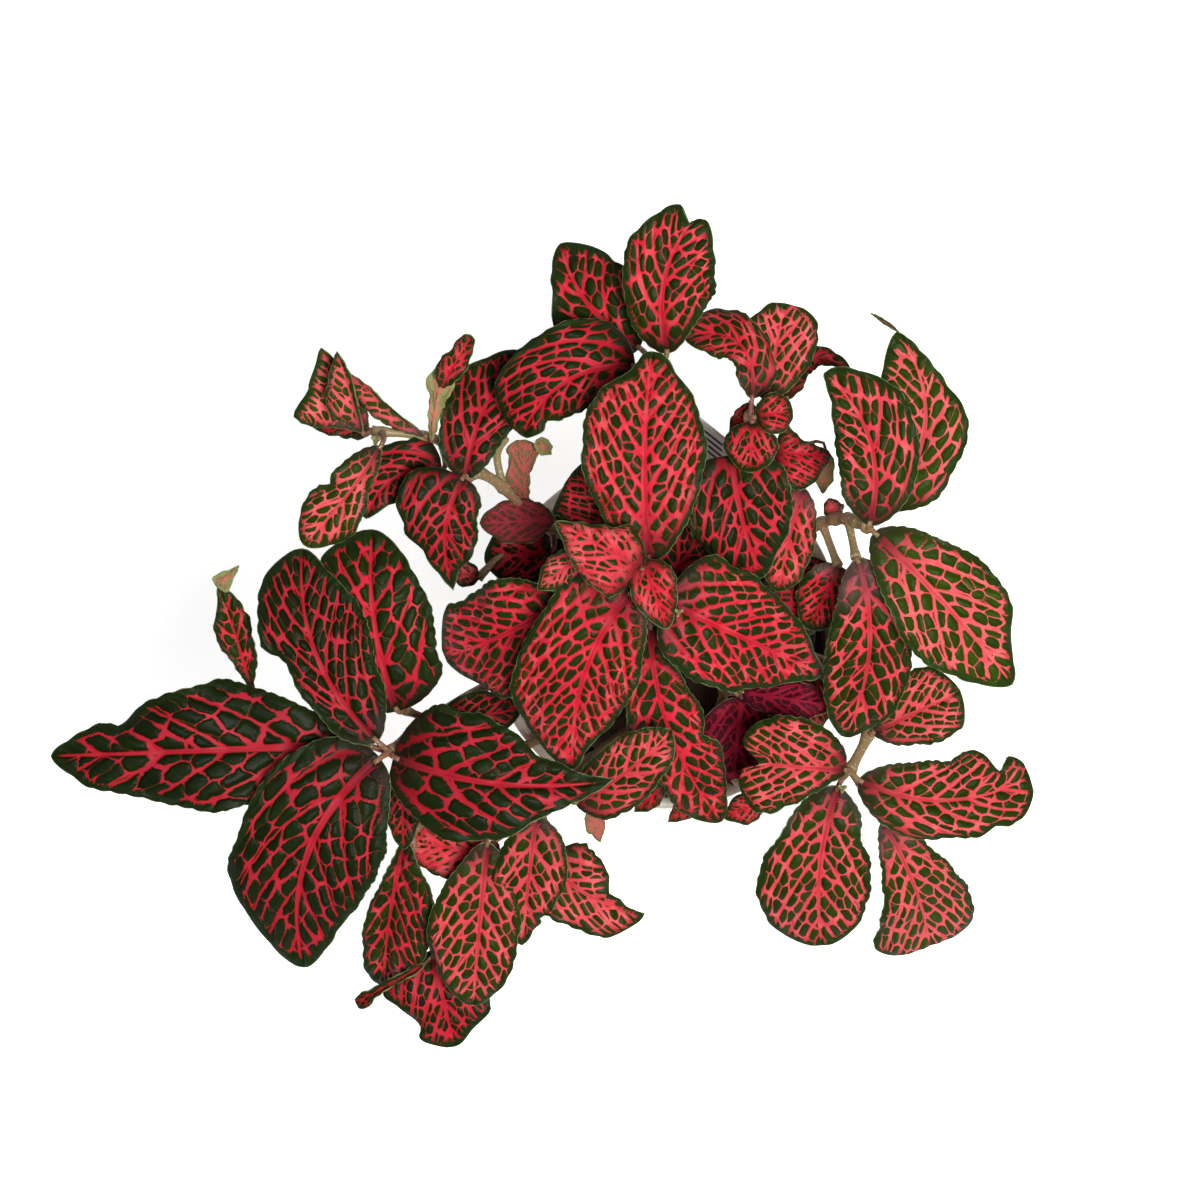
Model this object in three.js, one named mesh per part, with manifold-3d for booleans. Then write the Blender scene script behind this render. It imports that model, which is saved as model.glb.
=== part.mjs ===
// A potted nerve plant: a cream ceramic outer pot, the thin grow pot inside it, its soil, a blank
// tag and ten leafy shoots. Millimetres, +Z up, origin at the middle of the outer pot's underside.
// Each leaf's two ends are places in a view from straight above: a pixel of the 1200 x 1200
// photograph (x to the right, y down) and the real height of that point over the table.

import * as THREE from "three";
import { mergeVertices } from "three/addons/utils/BufferGeometryUtils.js";
import Module from "manifold-3d";

const wasm = await Module();
wasm.setup();

const VIEW = { mmPerPixel: 0.32, middle: 600, eyeX: -22, eyeY: 10.8, eyeZ: 1600, planeZ: 190 };

const POT = {
  rimWidth: 120, footWidth: 90, height: 110, wall: 4, floor: 6, sides: 32,
  footRound: 2, collar: 14, flare: 1.2, lipRound: 1.5, floorRound: 3,
};
const GROW_POT = {
  rimWidth: 103, footWidth: 74, height: 95, wall: 1.4, footRound: 1, lipDrop: 7, lipOut: 1.3, taper: 0.6,
};
const DRAIN = { count: 4, width: 9, ring: 22, drill: 8 };
const SOIL = {
  top: 90, footIn: 1.6, rimIn: 1.2, round: 2, swell: 3, crest: 0.6, dip: 0.3, sides: 24,
  holeWidth: 5.6, holeHeight: 40,
};
const HOLE_SIDES = 8;
const TAG = {
  width: 17, thickness: 0.9, head: [712, 428, 152], foot: [698, 545, 92], turn: -49, sunk: 18,
};
const STEM = { radius: 1.7, branch: 1.3, knuckle: 2.4, bud: 1.9, sides: 5, rootZ: 72, soilZ: 100 };
const BALL = { around: 5, down: 3, turn: 0.4 };
const BLADE = { thickness: 0.7, rib: 0.5, scallop: 0.94, lean: 0.1, easing: 0.5, narrowest: 1.1 };
const STALK = { width: 1.8, thickness: 1.5, sunk: 0.2, stagger: 0.07 };
// Rows and columns of a blade by its width.
const GRIDS = [[17, 3, 2], [29, 4, 4], [Infinity, 6, 4]];
// How far each leaf's ripple is shifted from that of the leaf before it, in radians.
const RIPPLE_SHIFT = 1.7;
const GAP = 0.3;

// A leaf's defaults: width, arch, bend and wave in millimetres, roll, twist, fold and cup in degrees.
// The rest are shares of its length: where it is widest, and how full its two ends are. A bite is
// [share of the length, side, depth, span] in a margin, and a notch [place across, depth, span] in a tip.
const PLAIN = {
  arch: 5, bend: 0, roll: 0, twist: 0, fold: 14, cup: -34, wave: 1.2, waves: 2.5,
  widest: 0.47, tipFullness: 0.6, heelFullness: 0.55,
};

const SHOOTS = {
  crown: {
    root: [-4, 10],
    stems: [[[655, 600, 150], [650, 582, 207]]],
    leaves: [
      { base: [652, 552, 207], tip: [652, 351, 214], width: 41, arch: 7, bend: 2, widest: 0.5,
        tipFullness: 0.5, heelFullness: 0.4 },
      { base: [643, 570, 213], tip: [555, 521, 218], width: 25, arch: 3, cup: -40 },
      { base: [656, 562, 212], tip: [668, 628, 209], width: 17, arch: 4, fold: 24 },
      { base: [630, 596, 207], tip: [573, 770, 172], width: 45, arch: 8, bend: -6, widest: 0.42,
        heelFullness: 0.4 },
      { base: [672, 604, 205], tip: [823, 675, 167], width: 39, arch: 9, heelFullness: 0.3 },
      { base: [562, 600, 197], tip: [444, 657, 160], width: 43, arch: 6, bend: 2 },
      { base: [655, 642, 188], tip: [722, 822, 138], width: 36, arch: 1, bend: -6, widest: 0.5,
        heelFullness: 0.35 },
      { base: [578, 560, 204], tip: [539, 588, 203], width: 14, arch: 2 },
      { base: [622, 512, 190], tip: [572, 472, 193], width: 26, arch: 4, widest: 0.6 },
      { base: [664, 588, 185], tip: [720, 508, 167], width: 21, arch: 3 },
      { base: [664, 610, 138], tip: [696, 668, 124], width: 16, arch: 4 },
    ],
    buds: [[678, 612, 206.5]],
  },
  back: {
    root: [2, 28],
    stems: [[[655, 480, 138], [652, 366, 193]]],
    leaves: [
      { base: [668, 354, 195], tip: [698, 212, 206], width: 33, arch: 5, bend: 6, widest: 0.55,
        tipFullness: 0.35, notch: [-0.1, 0.1, 0.35] },
      { base: [640, 348, 186], tip: [552, 268, 180], width: 37, arch: 6, widest: 0.62,
        tipFullness: 0.3 },
      { base: [636, 366, 197], tip: [521, 436, 193], width: 31, arch: 7, bend: -7, widest: 0.6,
        tipFullness: 0.4, bite: [0.45, 1, 0.4, 0.2] },
      { base: [650, 480, 136], tip: [598, 462, 124], width: 16, arch: 4 },
    ],
  },
  backRight: {
    root: [25, 20],
    stems: [[[756, 500, 145], [751, 415, 192]]],
    leaves: [
      { base: [753, 405, 192], tip: [687, 334, 185], width: 22, arch: 6, bend: -10, widest: 0.6,
        tipFullness: 0.4 },
      { base: [767, 398, 180], tip: [795, 303, 186], width: 24, arch: 3, widest: 0.6,
        tipFullness: 0.35 },
      { base: [783, 400, 172], tip: [852, 376, 174], width: 14, arch: 3, bend: 7 },
      { base: [755, 417, 195], tip: [793, 410, 195], width: 14, arch: 3, tipFullness: 0.4 },
      { base: [752, 422, 195], tip: [750, 474, 191], width: 20, arch: 4, widest: 0.55,
        heelFullness: 0.4 },
      { base: [716, 442, 189], tip: [752, 583, 178], width: 33, arch: 5 },
      { base: [764, 450, 176], tip: [828, 450, 172], width: 22, arch: 3, widest: 0.4 },
      { base: [797, 476, 175], tip: [771, 592, 170], width: 24, arch: 4 },
      { base: [822, 450, 166], tip: [822, 494, 158], width: 9, arch: 2, roll: 170 },
      { base: [750, 402, 186], tip: [731, 441, 180], width: 9, arch: 2, bend: 1 },
    ],
  },
  right: {
    root: [30, 8],
    stems: [
      [[792, 548, 145], [822, 523, 170], [848, 519, 185], [868, 527, 194]],
      [[822, 523, 170], [838, 566, 177]],
      [[848, 519, 185], [856, 558, 192]],
    ],
    leaves: [
      { base: [869, 526, 195], tip: [824, 373, 201], width: 30, arch: 5, bend: -9, roll: -8,
        tipFullness: 0.5 },
      { base: [886, 508, 184], tip: [897, 331, 188], width: 34, arch: 5, bend: -8, widest: 0.42,
        tipFullness: 0.6 },
      { base: [874, 532, 196], tip: [1013, 685, 182], width: 37, arch: 6, bend: 1,
        heelFullness: 0.5 },
      { base: [840, 566, 177], tip: [808, 630, 166], width: 19, arch: 2, heelFullness: 0.35 },
      { base: [857, 558, 193], tip: [845, 738, 158], width: 32, arch: 8, bend: 4, widest: 0.52 },
      { base: [899, 332, 188], tip: [871, 313, 190], width: 1.8, arch: 1, fold: 0 },
      { base: [842, 505, 178], tip: [824, 514, 175], width: 8, arch: 1 },
      { base: [788, 562, 139], tip: [848, 606, 127], width: 16, arch: 4 },
    ],
  },
  frontRight: {
    root: [27, -10],
    stems: [[[820, 660, 128], [878, 700, 145], [868, 735, 152], [850, 770, 159]]],
    leaves: [
      { base: [847, 770, 162], tip: [742, 762, 165], width: 34, arch: 8, widest: 0.45,
        tipFullness: 0.35, heelFullness: 0.35, notch: [-0.1, 0.16, 0.2] },
      { base: [858, 780, 160], tip: [1030, 776, 150], width: 29, arch: 6, bend: -5, widest: 0.6,
        tipFullness: 0.3, bite: [0.86, 1, 0.45, 0.05] },
      { base: [838, 786, 154], tip: [822, 946, 124], width: 40, arch: 5, bend: -4, widest: 0.6,
        tipFullness: 0.5 },
      { base: [882, 822, 148], tip: [920, 956, 112], width: 33, arch: 6, bend: 6, widest: 0.75,
        tipFullness: 0.25 },
      { base: [872, 733, 155], tip: [960, 690, 168], width: 29, arch: 4, widest: 0.55 },
      { base: [806, 672, 124], tip: [812, 736, 114], width: 16, arch: 4 },
    ],
    buds: [[842, 788, 155]],
  },
  left: {
    root: [-29, -9],
    stems: [
      [[500, 680, 130], [430, 720, 156], [390, 752, 170]],
      [[430, 720, 156], [405, 710, 162]],
    ],
    leaves: [
      { base: [356, 744, 166], tip: [50, 756, 158], width: 43, arch: 8, widest: 0.45,
        tipFullness: 0.8, heelFullness: 0.7, wave: 2 },
      { base: [378, 742, 180], tip: [302, 548, 174], width: 40, arch: 6, bend: 6,
        bite: [0.27, 1, 0.45, 0.13] },
      { base: [405, 710, 164], tip: [372, 529, 168], width: 40, arch: 8 },
      { base: [393, 757, 174], tip: [614, 779, 184], width: 43, arch: 7, bend: -4, widest: 0.3,
        tipFullness: 1, heelFullness: 0.35 },
      { base: [380, 758, 176], tip: [303, 968, 148], width: 49, arch: 9, bend: -11,
        tipFullness: 0.65 },
      { base: [252, 696, 158], tip: [217, 588, 172], width: 13, arch: 2, bend: -1 },
      { base: [222, 594, 171], tip: [238, 568, 168], width: 7, arch: 1, roll: 180 },
      { base: [402, 770, 152], tip: [404, 850, 146], width: 12, arch: 2 },
      { base: [436, 724, 155], tip: [522, 708, 150], width: 17, arch: 3 },
      { base: [508, 668, 128], tip: [452, 630, 116], width: 16, arch: 4 },
    ],
  },
  frontLeft: {
    root: [-20, -26],
    stems: [[[500, 760, 125], [425, 820, 138], [402, 834, 143]]],
    leaves: [
      { base: [405, 838, 144], tip: [384, 985, 106], width: 26, arch: 5, bend: 2, fold: 40,
        cup: -50 },
      { base: [432, 950, 118], tip: [455, 1047, 110], width: 37, arch: 3, widest: 0.62,
        tipFullness: 0.25, bite: [0.8, -1, 0.45, 0.3] },
      { base: [425, 964, 121], tip: [356, 1003, 117], width: 8, arch: 2, fold: 50 },
      { base: [495, 852, 138], tip: [405, 842, 136], width: 22, arch: 3 },
      { base: [512, 764, 120], tip: [498, 826, 109], width: 16, arch: 4 },
    ],
  },
  front: {
    root: [-8, -30],
    stems: [
      [[590, 760, 130], [540, 812, 152], [495, 836, 151]],
      [[590, 760, 130], [572, 797, 155]],
      [[540, 812, 152], [562, 862, 141]],
    ],
    leaves: [
      { base: [487, 842, 151], tip: [473, 1006, 122], width: 30, arch: 5, widest: 0.55 },
      { base: [536, 815, 155], tip: [522, 946, 132], width: 26, arch: 5 },
      { base: [560, 866, 141], tip: [645, 914, 136], width: 28, arch: 4, bend: -3, widest: 0.32,
        tipFullness: 0.9, bite: [0.6, 1, 0.9, 0.13] },
      { base: [574, 803, 160], tip: [671, 730, 182], width: 30, arch: 4, bend: -2, widest: 0.55 },
      { base: [592, 808, 148], tip: [597, 842, 140], width: 8, arch: 1 },
    ],
  },
  upperLeft: {
    root: [-24, 20],
    stems: [
      [[570, 540, 135], [535, 520, 152], [503, 487, 174], [480, 474, 182], [463, 480, 185]],
      [[503, 487, 174], [458, 452, 168], [428, 437, 176], [372, 431, 179]],
      [[503, 487, 174], [497, 455, 178], [506, 438, 181]],
      [[535, 520, 152], [478, 578, 150]],
    ],
    leaves: [
      { base: [465, 482, 186], tip: [525, 350, 178], width: 30, arch: 5, bend: 6 },
      { base: [460, 474, 188], tip: [452, 592, 172], width: 27, arch: 6, bend: -4, widest: 0.42,
        tipFullness: 1, heelFullness: 0.35 },
      { base: [378, 446, 191], tip: [306, 546, 187], width: 25, arch: 4, bend: 3 },
      { base: [441, 462, 177], tip: [366, 521, 177], width: 26, arch: 3, bend: -1 },
      { base: [369, 430, 180], tip: [300, 380, 187], width: 27, arch: 2, widest: 0.9,
        tipFullness: 0.2, heelFullness: 1.2, notch: [0.1, 0.16, 0.5] },
      { base: [370, 433, 175], tip: [310, 424, 172], width: 12, arch: 2 },
      { base: [424, 434, 179], tip: [338, 356, 188], width: 11, arch: 2, bend: 9 },
      { base: [438, 440, 182], tip: [470, 336, 196], width: 14, arch: 2, bend: 3, roll: 150,
        twist: -20 },
      { base: [516, 515, 158], tip: [524, 442, 172], width: 14, arch: 3, roll: 180 },
      { base: [530, 444, 173], tip: [550, 450, 170], width: 6, arch: 1, roll: 170 },
      { base: [554, 520, 158], tip: [480, 523, 164], width: 16, arch: 4 },
      { base: [552, 550, 146], tip: [484, 560, 150], width: 23, arch: 4 },
      { base: [480, 577, 151], tip: [448, 575, 152], width: 9, arch: 2 },
    ],
  },
  inner: {
    root: [18, -16],
    stems: [
      [[725, 690, 125], [740, 690, 146]],
      [[740, 690, 146], [768, 600, 160]],
      [[725, 690, 125], [700, 760, 130], [690, 800, 136]],
      [[700, 760, 130], [770, 800, 136]],
    ],
    leaves: [
      { base: [742, 696, 146], tip: [732, 784, 132], width: 26, arch: 2, roll: 180 },
      { base: [742, 692, 150], tip: [832, 706, 158], width: 14, arch: 3, roll: 175 },
      { base: [768, 592, 162], tip: [818, 630, 154], width: 19, arch: 3 },
      { base: [766, 806, 136], tip: [724, 816, 133], width: 13, arch: 2 },
      { base: [690, 800, 137], tip: [668, 823, 132], width: 9, arch: 1 },
      { base: [660, 790, 140], tip: [630, 815, 136], width: 10, arch: 1 },
    ],
  },
};

// The real place of a pixel seen from straight above, at height z.
function seen([pixelX, pixelY, z]) {
  const spread = (VIEW.mmPerPixel * (VIEW.eyeZ - z)) / (VIEW.eyeZ - VIEW.planeZ);
  return new THREE.Vector3(
    VIEW.eyeX + (pixelX - VIEW.middle) * spread, VIEW.eyeY - (pixelY - VIEW.middle) * spread, z);
}

// The midrib from base to tip, with its sideways bend and its arch.
function midribOf(form) {
  const base = seen(form.base);
  const tip = seen(form.tip);
  const left = new THREE.Vector3(base.y - tip.y, tip.x - base.x, 0).normalize();
  const bow = left.clone().multiplyScalar(form.bend).add(new THREE.Vector3(0, 0, form.arch));
  const control = base.clone().lerp(tip, 0.5).addScaledVector(bow, 2);
  return { left, curve: new THREE.QuadraticBezierCurve3(base, control, tip) };
}

// Half the blade's width at a share of its length, on the left (+1) or the right (-1).
function halfWidth(form, along, side) {
  const swell = along < form.widest
    ? Math.sin((Math.PI / 2) * (along / form.widest)) ** form.heelFullness
    : Math.max(Math.cos((Math.PI / 2) * ((along - form.widest) / (1 - form.widest))), 0) ** form.tipFullness;
  let half = (form.width / 2) * swell;
  if (form.bite && form.bite[1] === side) {
    const [place, , depth, span] = form.bite;
    half *= 1 - depth * Math.exp(-(((along - place) / span) ** 2));
  }
  return Math.max(half, BLADE.narrowest / 2);
}

// How far a notch in the tip cuts back at a place across the blade, as a share of its length.
function notchDepth({ notch }, across) {
  if (!notch) return 0;
  const [place, depth, span] = notch;
  return depth * Math.exp(-(((across - place) / span) ** 2));
}

// A point of the blade's middle sheet and the direction square to it there.
function bladePoint(form, midrib, along, across, seed) {
  const side = Math.sign(across);
  const out = Math.abs(across);
  const forward = midrib.curve.getTangent(along);
  const level = midrib.left.clone().addScaledVector(forward, -midrib.left.dot(forward)).normalize();
  const up = forward.clone().cross(level);
  const turn = THREE.MathUtils.degToRad(form.roll + form.twist * along);
  level.applyAxisAngle(forward, turn);
  up.applyAxisAngle(forward, turn);

  const half = halfWidth(form, along, side);
  const fold = THREE.MathUtils.degToRad(form.fold);
  const cup = THREE.MathUtils.degToRad(form.cup);
  const reach = (half * (Math.sin(fold + cup * out) - Math.sin(fold))) / cup;
  const ripple = Math.sin(2 * Math.PI * form.waves * along + seed + side);
  const rise = (half * (Math.cos(fold) - Math.cos(fold + cup * out))) / cup
    + form.wave * out * out * ripple * Math.sin(Math.PI * along);
  const place = midrib.curve.getPoint(along).addScaledVector(level, side * reach).addScaledVector(up, rise);
  const slope = fold + cup * out;
  const square = up.multiplyScalar(Math.cos(slope)).addScaledVector(level, -side * Math.sin(slope));
  return { place, square };
}

// A closed thin leaf: a stalk from the stem, then rows that lean forward like the side veins, every
// other one standing up as a rib.
function leafGeometry(leaf, from, seed) {
  const form = { ...PLAIN, ...leaf };
  const midrib = midribOf(form);
  const [, rows, columns] = GRIDS.find(([limit]) => form.width < limit);
  const top = [];
  const bottom = [];
  const stalkWay = midrib.curve.getPoint(0).sub(from).normalize();
  const sideways = midrib.left.clone().applyAxisAngle(
    midrib.curve.getTangent(0), THREE.MathUtils.degToRad(form.roll));
  sideways.addScaledVector(stalkWay, -sideways.dot(stalkWay)).normalize();
  const square = stalkWay.clone().cross(sideways);
  const heel = [[-1, 1], [1, 1], [-1, -1], [1, -1]].map(([side, face]) => (
    from.clone().addScaledVector(sideways, (side * STALK.width) / 2)
      .addScaledVector(square, (face * STALK.thickness) / 2)));
  for (let row = 0; row <= rows; row += 1) {
    for (let column = 0; column <= columns; column += 1) {
      const across = (2 * column) / columns - 1;
      const out = Math.abs(across);
      const even = row / rows;
      const eased = THREE.MathUtils.lerp(even, (1 - Math.cos(Math.PI * even)) / 2, BLADE.easing);
      const lean = BLADE.lean * out * 4 * eased * (1 - eased);
      const along = (eased + lean) * (1 - notchDepth(form, across) * eased ** 4);
      const scale = out === 1 && row % 2 === 0 ? BLADE.scallop : 1;
      const { place, square } = bladePoint(form, midrib, along, across * scale, seed);
      const ribbed = out === 0 || (out < 1 && row % 2 === 1);
      const lift = ribbed && row > 0 && row < rows ? BLADE.rib : 0;
      const half = (row === 0 ? STALK.thickness : BLADE.thickness) / 2;
      top.push(place.clone().addScaledVector(square, lift + half));
      bottom.push(place.clone().addScaledVector(square, lift - half));
    }
  }
  return closedSheet(top, bottom, heel, rows, columns);
}

// Two alike grids of points joined at their rims into one closed sheet, with a stalk of four corners.
function closedSheet(top, bottom, heel, rows, columns) {
  const index = [];
  const wide = columns + 1;
  const under = top.length;
  const quad = (a, b, c, d) => index.push(a, b, c, a, c, d);
  const [rightTop, leftTop, rightUnder, leftUnder] = heel.map((_, corner) => 2 * under + corner);
  for (let column = 0; column < columns; column += 1) {
    const [above, below] = column < columns / 2 ? [rightTop, rightUnder] : [leftTop, leftUnder];
    index.push(above, column, column + 1, below, column + 1 + under, column + under);
  }
  index.push(leftTop, rightTop, columns / 2, leftUnder, columns / 2 + under, rightUnder);
  quad(leftTop, columns, columns + under, leftUnder);
  quad(0, rightTop, rightUnder, under);
  quad(rightTop, leftTop, leftUnder, rightUnder);
  for (let row = 0; row < rows; row += 1) {
    for (let column = 0; column < columns; column += 1) {
      const a = row * wide + column;
      const corners = column < columns / 2
        ? [a, a + wide, a + wide + 1, a + 1]
        : [a + 1, a, a + wide, a + wide + 1];
      quad(...corners);
      const [p, q, r, s] = corners.map((corner) => corner + under);
      index.push(p, r, q, p, s, r);
    }
    const right = row * wide;
    const left = right + columns;
    quad(left, left + wide, left + wide + under, left + under);
    quad(right + wide, right, right + under, right + wide + under);
  }
  for (let column = 0; column < columns; column += 1) {
    const point = rows * wide + column;
    quad(point + 1, point, point + under, point + 1 + under);
  }
  const geometry = new THREE.BufferGeometry();
  geometry.setAttribute("position", new THREE.Float32BufferAttribute(
    [...top, ...bottom, ...heel].flatMap((point) => point.toArray()), 3));
  geometry.setIndex(index);
  return geometry;
}

// A stem's route, evenly stepped along a smooth curve through the given points.
function routeOf(points) {
  return new THREE.CatmullRomCurve3(points);
}

function stepsOf(points) {
  return 2 * (points.length - 1);
}

// A round stem of even thickness through the given points.
function tubeGeometry(points, radius) {
  const section = new THREE.Shape();
  for (let side = 0; side < STEM.sides; side += 1) {
    const angle = (2 * Math.PI * side) / STEM.sides;
    const corner = [radius * Math.cos(angle), radius * Math.sin(angle)];
    if (side === 0) section.moveTo(...corner);
    else section.lineTo(...corner);
  }
  return new THREE.ExtrudeGeometry(section, {
    extrudePath: routeOf(points), steps: stepsOf(points), bevelEnabled: false, curveSegments: 1,
  });
}

function solidOf(geometry) {
  const bare = geometry.clone();
  bare.deleteAttribute("normal");
  bare.deleteAttribute("uv");
  const merged = mergeVertices(bare, 1e-4);
  return new wasm.Manifold(new wasm.Mesh({
    numProp: 3,
    vertProperties: new Float32Array(merged.attributes.position.array),
    triVerts: new Uint32Array(merged.index.array),
  }));
}

function geometryOf(solid) {
  const { vertProperties, triVerts } = solid.getMesh();
  const geometry = new THREE.BufferGeometry();
  geometry.setAttribute("position", new THREE.BufferAttribute(vertProperties, 3));
  geometry.setIndex(new THREE.BufferAttribute(triVerts, 1));
  return geometry;
}

// The swollen joint of a stem, and a closed bud.
function knuckle(place, radius) {
  return new THREE.SphereGeometry(radius, BALL.around, BALL.down).rotateZ(BALL.turn)
    .translate(...place.toArray());
}

// A leafy shoot: its stems, and each leaf on the stem point nearest to its heel.
function shootSolid({ root, stems, leaves, buds = [] }) {
  const [rootX, rootY] = root;
  const foot = [STEM.rootZ, (STEM.rootZ + STEM.soilZ) / 2, STEM.soilZ]
    .map((z) => new THREE.Vector3(rootX, rootY, z));
  const [main, ...branches] = stems.map((stem) => stem.map(seen));
  const pieces = [solidOf(tubeGeometry([...foot, ...main], STEM.radius))];
  branches.forEach((run) => pieces.push(solidOf(tubeGeometry(run, STEM.branch))));
  const nodes = [[...foot, ...main], ...branches].flatMap((run) => (
    routeOf(run).getSpacedPoints(stepsOf(run)).filter((point) => point.z > STEM.soilZ)));
  const joints = new Set();
  leaves.forEach((leaf, number) => {
    const heel = seen(leaf.base);
    const nearest = nodes.reduce((best, point) => (
      point.distanceTo(heel) < best.distanceTo(heel) ? point : best));
    const sunk = STALK.sunk + STALK.stagger * number;
    const from = nearest.clone().addScaledVector(nearest.clone().sub(heel).normalize(), sunk);
    pieces.push(solidOf(leafGeometry(leaf, from, RIPPLE_SHIFT * number)));
    joints.add(nearest);
  });
  branches.forEach(([start]) => joints.add(start));
  joints.forEach((joint) => pieces.push(solidOf(knuckle(joint, STEM.knuckle))));
  buds.forEach((bud) => pieces.push(solidOf(knuckle(seen(bud), STEM.bud))));
  return pieces.reduce((whole, piece) => whole.add(piece));
}

function latheOf(profile, sides) {
  return new THREE.LatheGeometry(profile.map(([radius, z]) => new THREE.Vector2(radius, z)), sides)
    .rotateX(Math.PI / 2);
}

// A standing round drill.
function upright(radius, height) {
  return new THREE.CylinderGeometry(radius, radius, height, HOLE_SIDES).rotateX(Math.PI / 2);
}

function outerPot() {
  const rim = POT.rimWidth / 2;
  const foot = POT.footWidth / 2;
  const { height, wall, floor, footRound, collar, flare, lipRound, floorRound } = POT;
  const inner = rim - wall;
  return latheOf([
    [0, 0], [foot - footRound, 0], [foot, footRound], [rim - flare, height - collar],
    [rim, height - lipRound], [rim - lipRound, height], [inner + lipRound, height],
    [inner, height - lipRound], [inner - flare, height - collar], [foot - wall, floor + floorRound],
    [foot - wall - floorRound, floor], [0, floor],
  ], POT.sides);
}

function growPot() {
  const rim = GROW_POT.rimWidth / 2;
  const foot = GROW_POT.footWidth / 2;
  const { height, wall, footRound, lipDrop, lipOut, taper } = GROW_POT;
  const base = POT.floor + GAP;
  const top = base + height;
  let shell = solidOf(latheOf([
    [0, base], [foot - footRound, base], [foot, base + footRound], [rim - lipOut - taper, top - lipDrop],
    [rim, top - lipDrop], [rim, top], [rim - wall - taper, top], [rim - wall - lipOut, top - lipDrop],
    [foot - wall, base + wall + footRound], [foot - wall - footRound, base + wall], [0, base + wall],
  ], POT.sides));
  for (let hole = 0; hole < DRAIN.count; hole += 1) {
    const angle = (2 * Math.PI * hole) / DRAIN.count;
    const drill = upright(DRAIN.width / 2, DRAIN.drill)
      .translate(DRAIN.ring * Math.cos(angle), DRAIN.ring * Math.sin(angle), base + wall / 2);
    shell = shell.subtract(solidOf(drill));
  }
  return geometryOf(shell);
}

// The soil fills the grow pot to a little under its rim, with one plain hole for each stem and the tag.
function soil(roots, tag) {
  const base = POT.floor + 2 * GAP + GROW_POT.wall;
  const foot = GROW_POT.footWidth / 2 - GROW_POT.wall - SOIL.footIn;
  const rim = GROW_POT.rimWidth / 2 - GROW_POT.wall - GROW_POT.lipOut - SOIL.rimIn;
  const { top, round, swell, crest, dip } = SOIL;
  const share = (top - base) / (GROW_POT.height - GROW_POT.lipDrop);
  const edge = THREE.MathUtils.lerp(foot, rim, share);
  let ground = solidOf(latheOf([
    [0, base], [foot, base], [edge, top - round], [edge - round, top], [edge * crest, top + swell],
    [edge * dip, top + swell * crest], [0, top + swell],
  ], SOIL.sides));
  roots.forEach(([x, y]) => {
    const drill = upright(SOIL.holeWidth / 2, SOIL.holeHeight)
      .translate(x, y, STEM.rootZ - GAP + SOIL.holeHeight / 2);
    ground = ground.subtract(solidOf(drill));
  });
  return geometryOf(ground.subtract(solidOf(tag)));
}

// A thin plate pushed into the soil, leaning out over the rim. The slot for it is a little larger.
function tagGeometry(grow) {
  const head = seen(TAG.head);
  const foot = seen(TAG.foot);
  const rise = head.clone().sub(foot);
  const length = rise.length() + TAG.sunk + grow;
  const outward = rise.clone().normalize();
  const turn = THREE.MathUtils.degToRad(TAG.turn);
  const widthWay = new THREE.Vector3(Math.cos(turn), Math.sin(turn), 0);
  widthWay.addScaledVector(outward, -widthWay.dot(outward)).normalize();
  const face = widthWay.clone().cross(outward);
  const lean = new THREE.Matrix4().makeBasis(widthWay, outward, face);
  const middle = head.clone().addScaledVector(outward, -(length - grow) / 2);
  return new THREE.BoxGeometry(TAG.width + 2 * grow, length, TAG.thickness + 2 * grow)
    .applyMatrix4(lean).translate(...middle.toArray());
}

function add(group, name, geometry, look) {
  const mesh = new THREE.Mesh(geometry, new THREE.MeshStandardMaterial({ metalness: 0, ...look }));
  mesh.name = name;
  group.add(mesh);
}

const group = new THREE.Group();
add(group, "outer_pot", outerPot(), { color: 0xe9e2d2, roughness: 0.35 });
add(group, "grow_pot", growPot(), { color: 0x16181f, roughness: 0.45 });
add(group, "soil", soil(Object.values(SHOOTS).map(({ root }) => root), tagGeometry(GAP)),
  { color: 0x2d2119, roughness: 0.95 });
add(group, "plant_tag", tagGeometry(0), { color: 0xf0ece4, roughness: 0.5 });
for (const [name, shoot] of Object.entries(SHOOTS)) {
  add(group, `shoot_${name}`, geometryOf(shootSolid(shoot)), { color: 0x8c2f3c, roughness: 0.5 });
}

export default group;
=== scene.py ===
import math
import random

import bmesh
import bpy
from mathutils import Matrix, Vector, geometry, kdtree, noise


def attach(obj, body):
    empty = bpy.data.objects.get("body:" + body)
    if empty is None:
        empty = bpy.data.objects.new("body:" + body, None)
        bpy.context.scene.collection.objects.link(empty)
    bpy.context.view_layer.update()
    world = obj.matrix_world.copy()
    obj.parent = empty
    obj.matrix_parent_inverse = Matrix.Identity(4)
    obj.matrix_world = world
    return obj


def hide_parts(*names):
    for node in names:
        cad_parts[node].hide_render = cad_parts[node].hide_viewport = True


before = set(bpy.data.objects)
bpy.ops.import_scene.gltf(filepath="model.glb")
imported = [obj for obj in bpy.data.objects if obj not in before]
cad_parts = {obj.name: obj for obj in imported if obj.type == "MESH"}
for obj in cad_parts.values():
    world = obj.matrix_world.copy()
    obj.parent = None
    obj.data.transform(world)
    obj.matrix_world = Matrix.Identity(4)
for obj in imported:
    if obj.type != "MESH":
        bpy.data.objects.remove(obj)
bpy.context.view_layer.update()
mm = 0.001
body = "root"

# Camera: straight above the plant, as in the photograph

view = dict(mmPerPixel=0.32, middle=600, eye=(-22, 10.8, 1600), planeZ=190, sensor=36)


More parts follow.
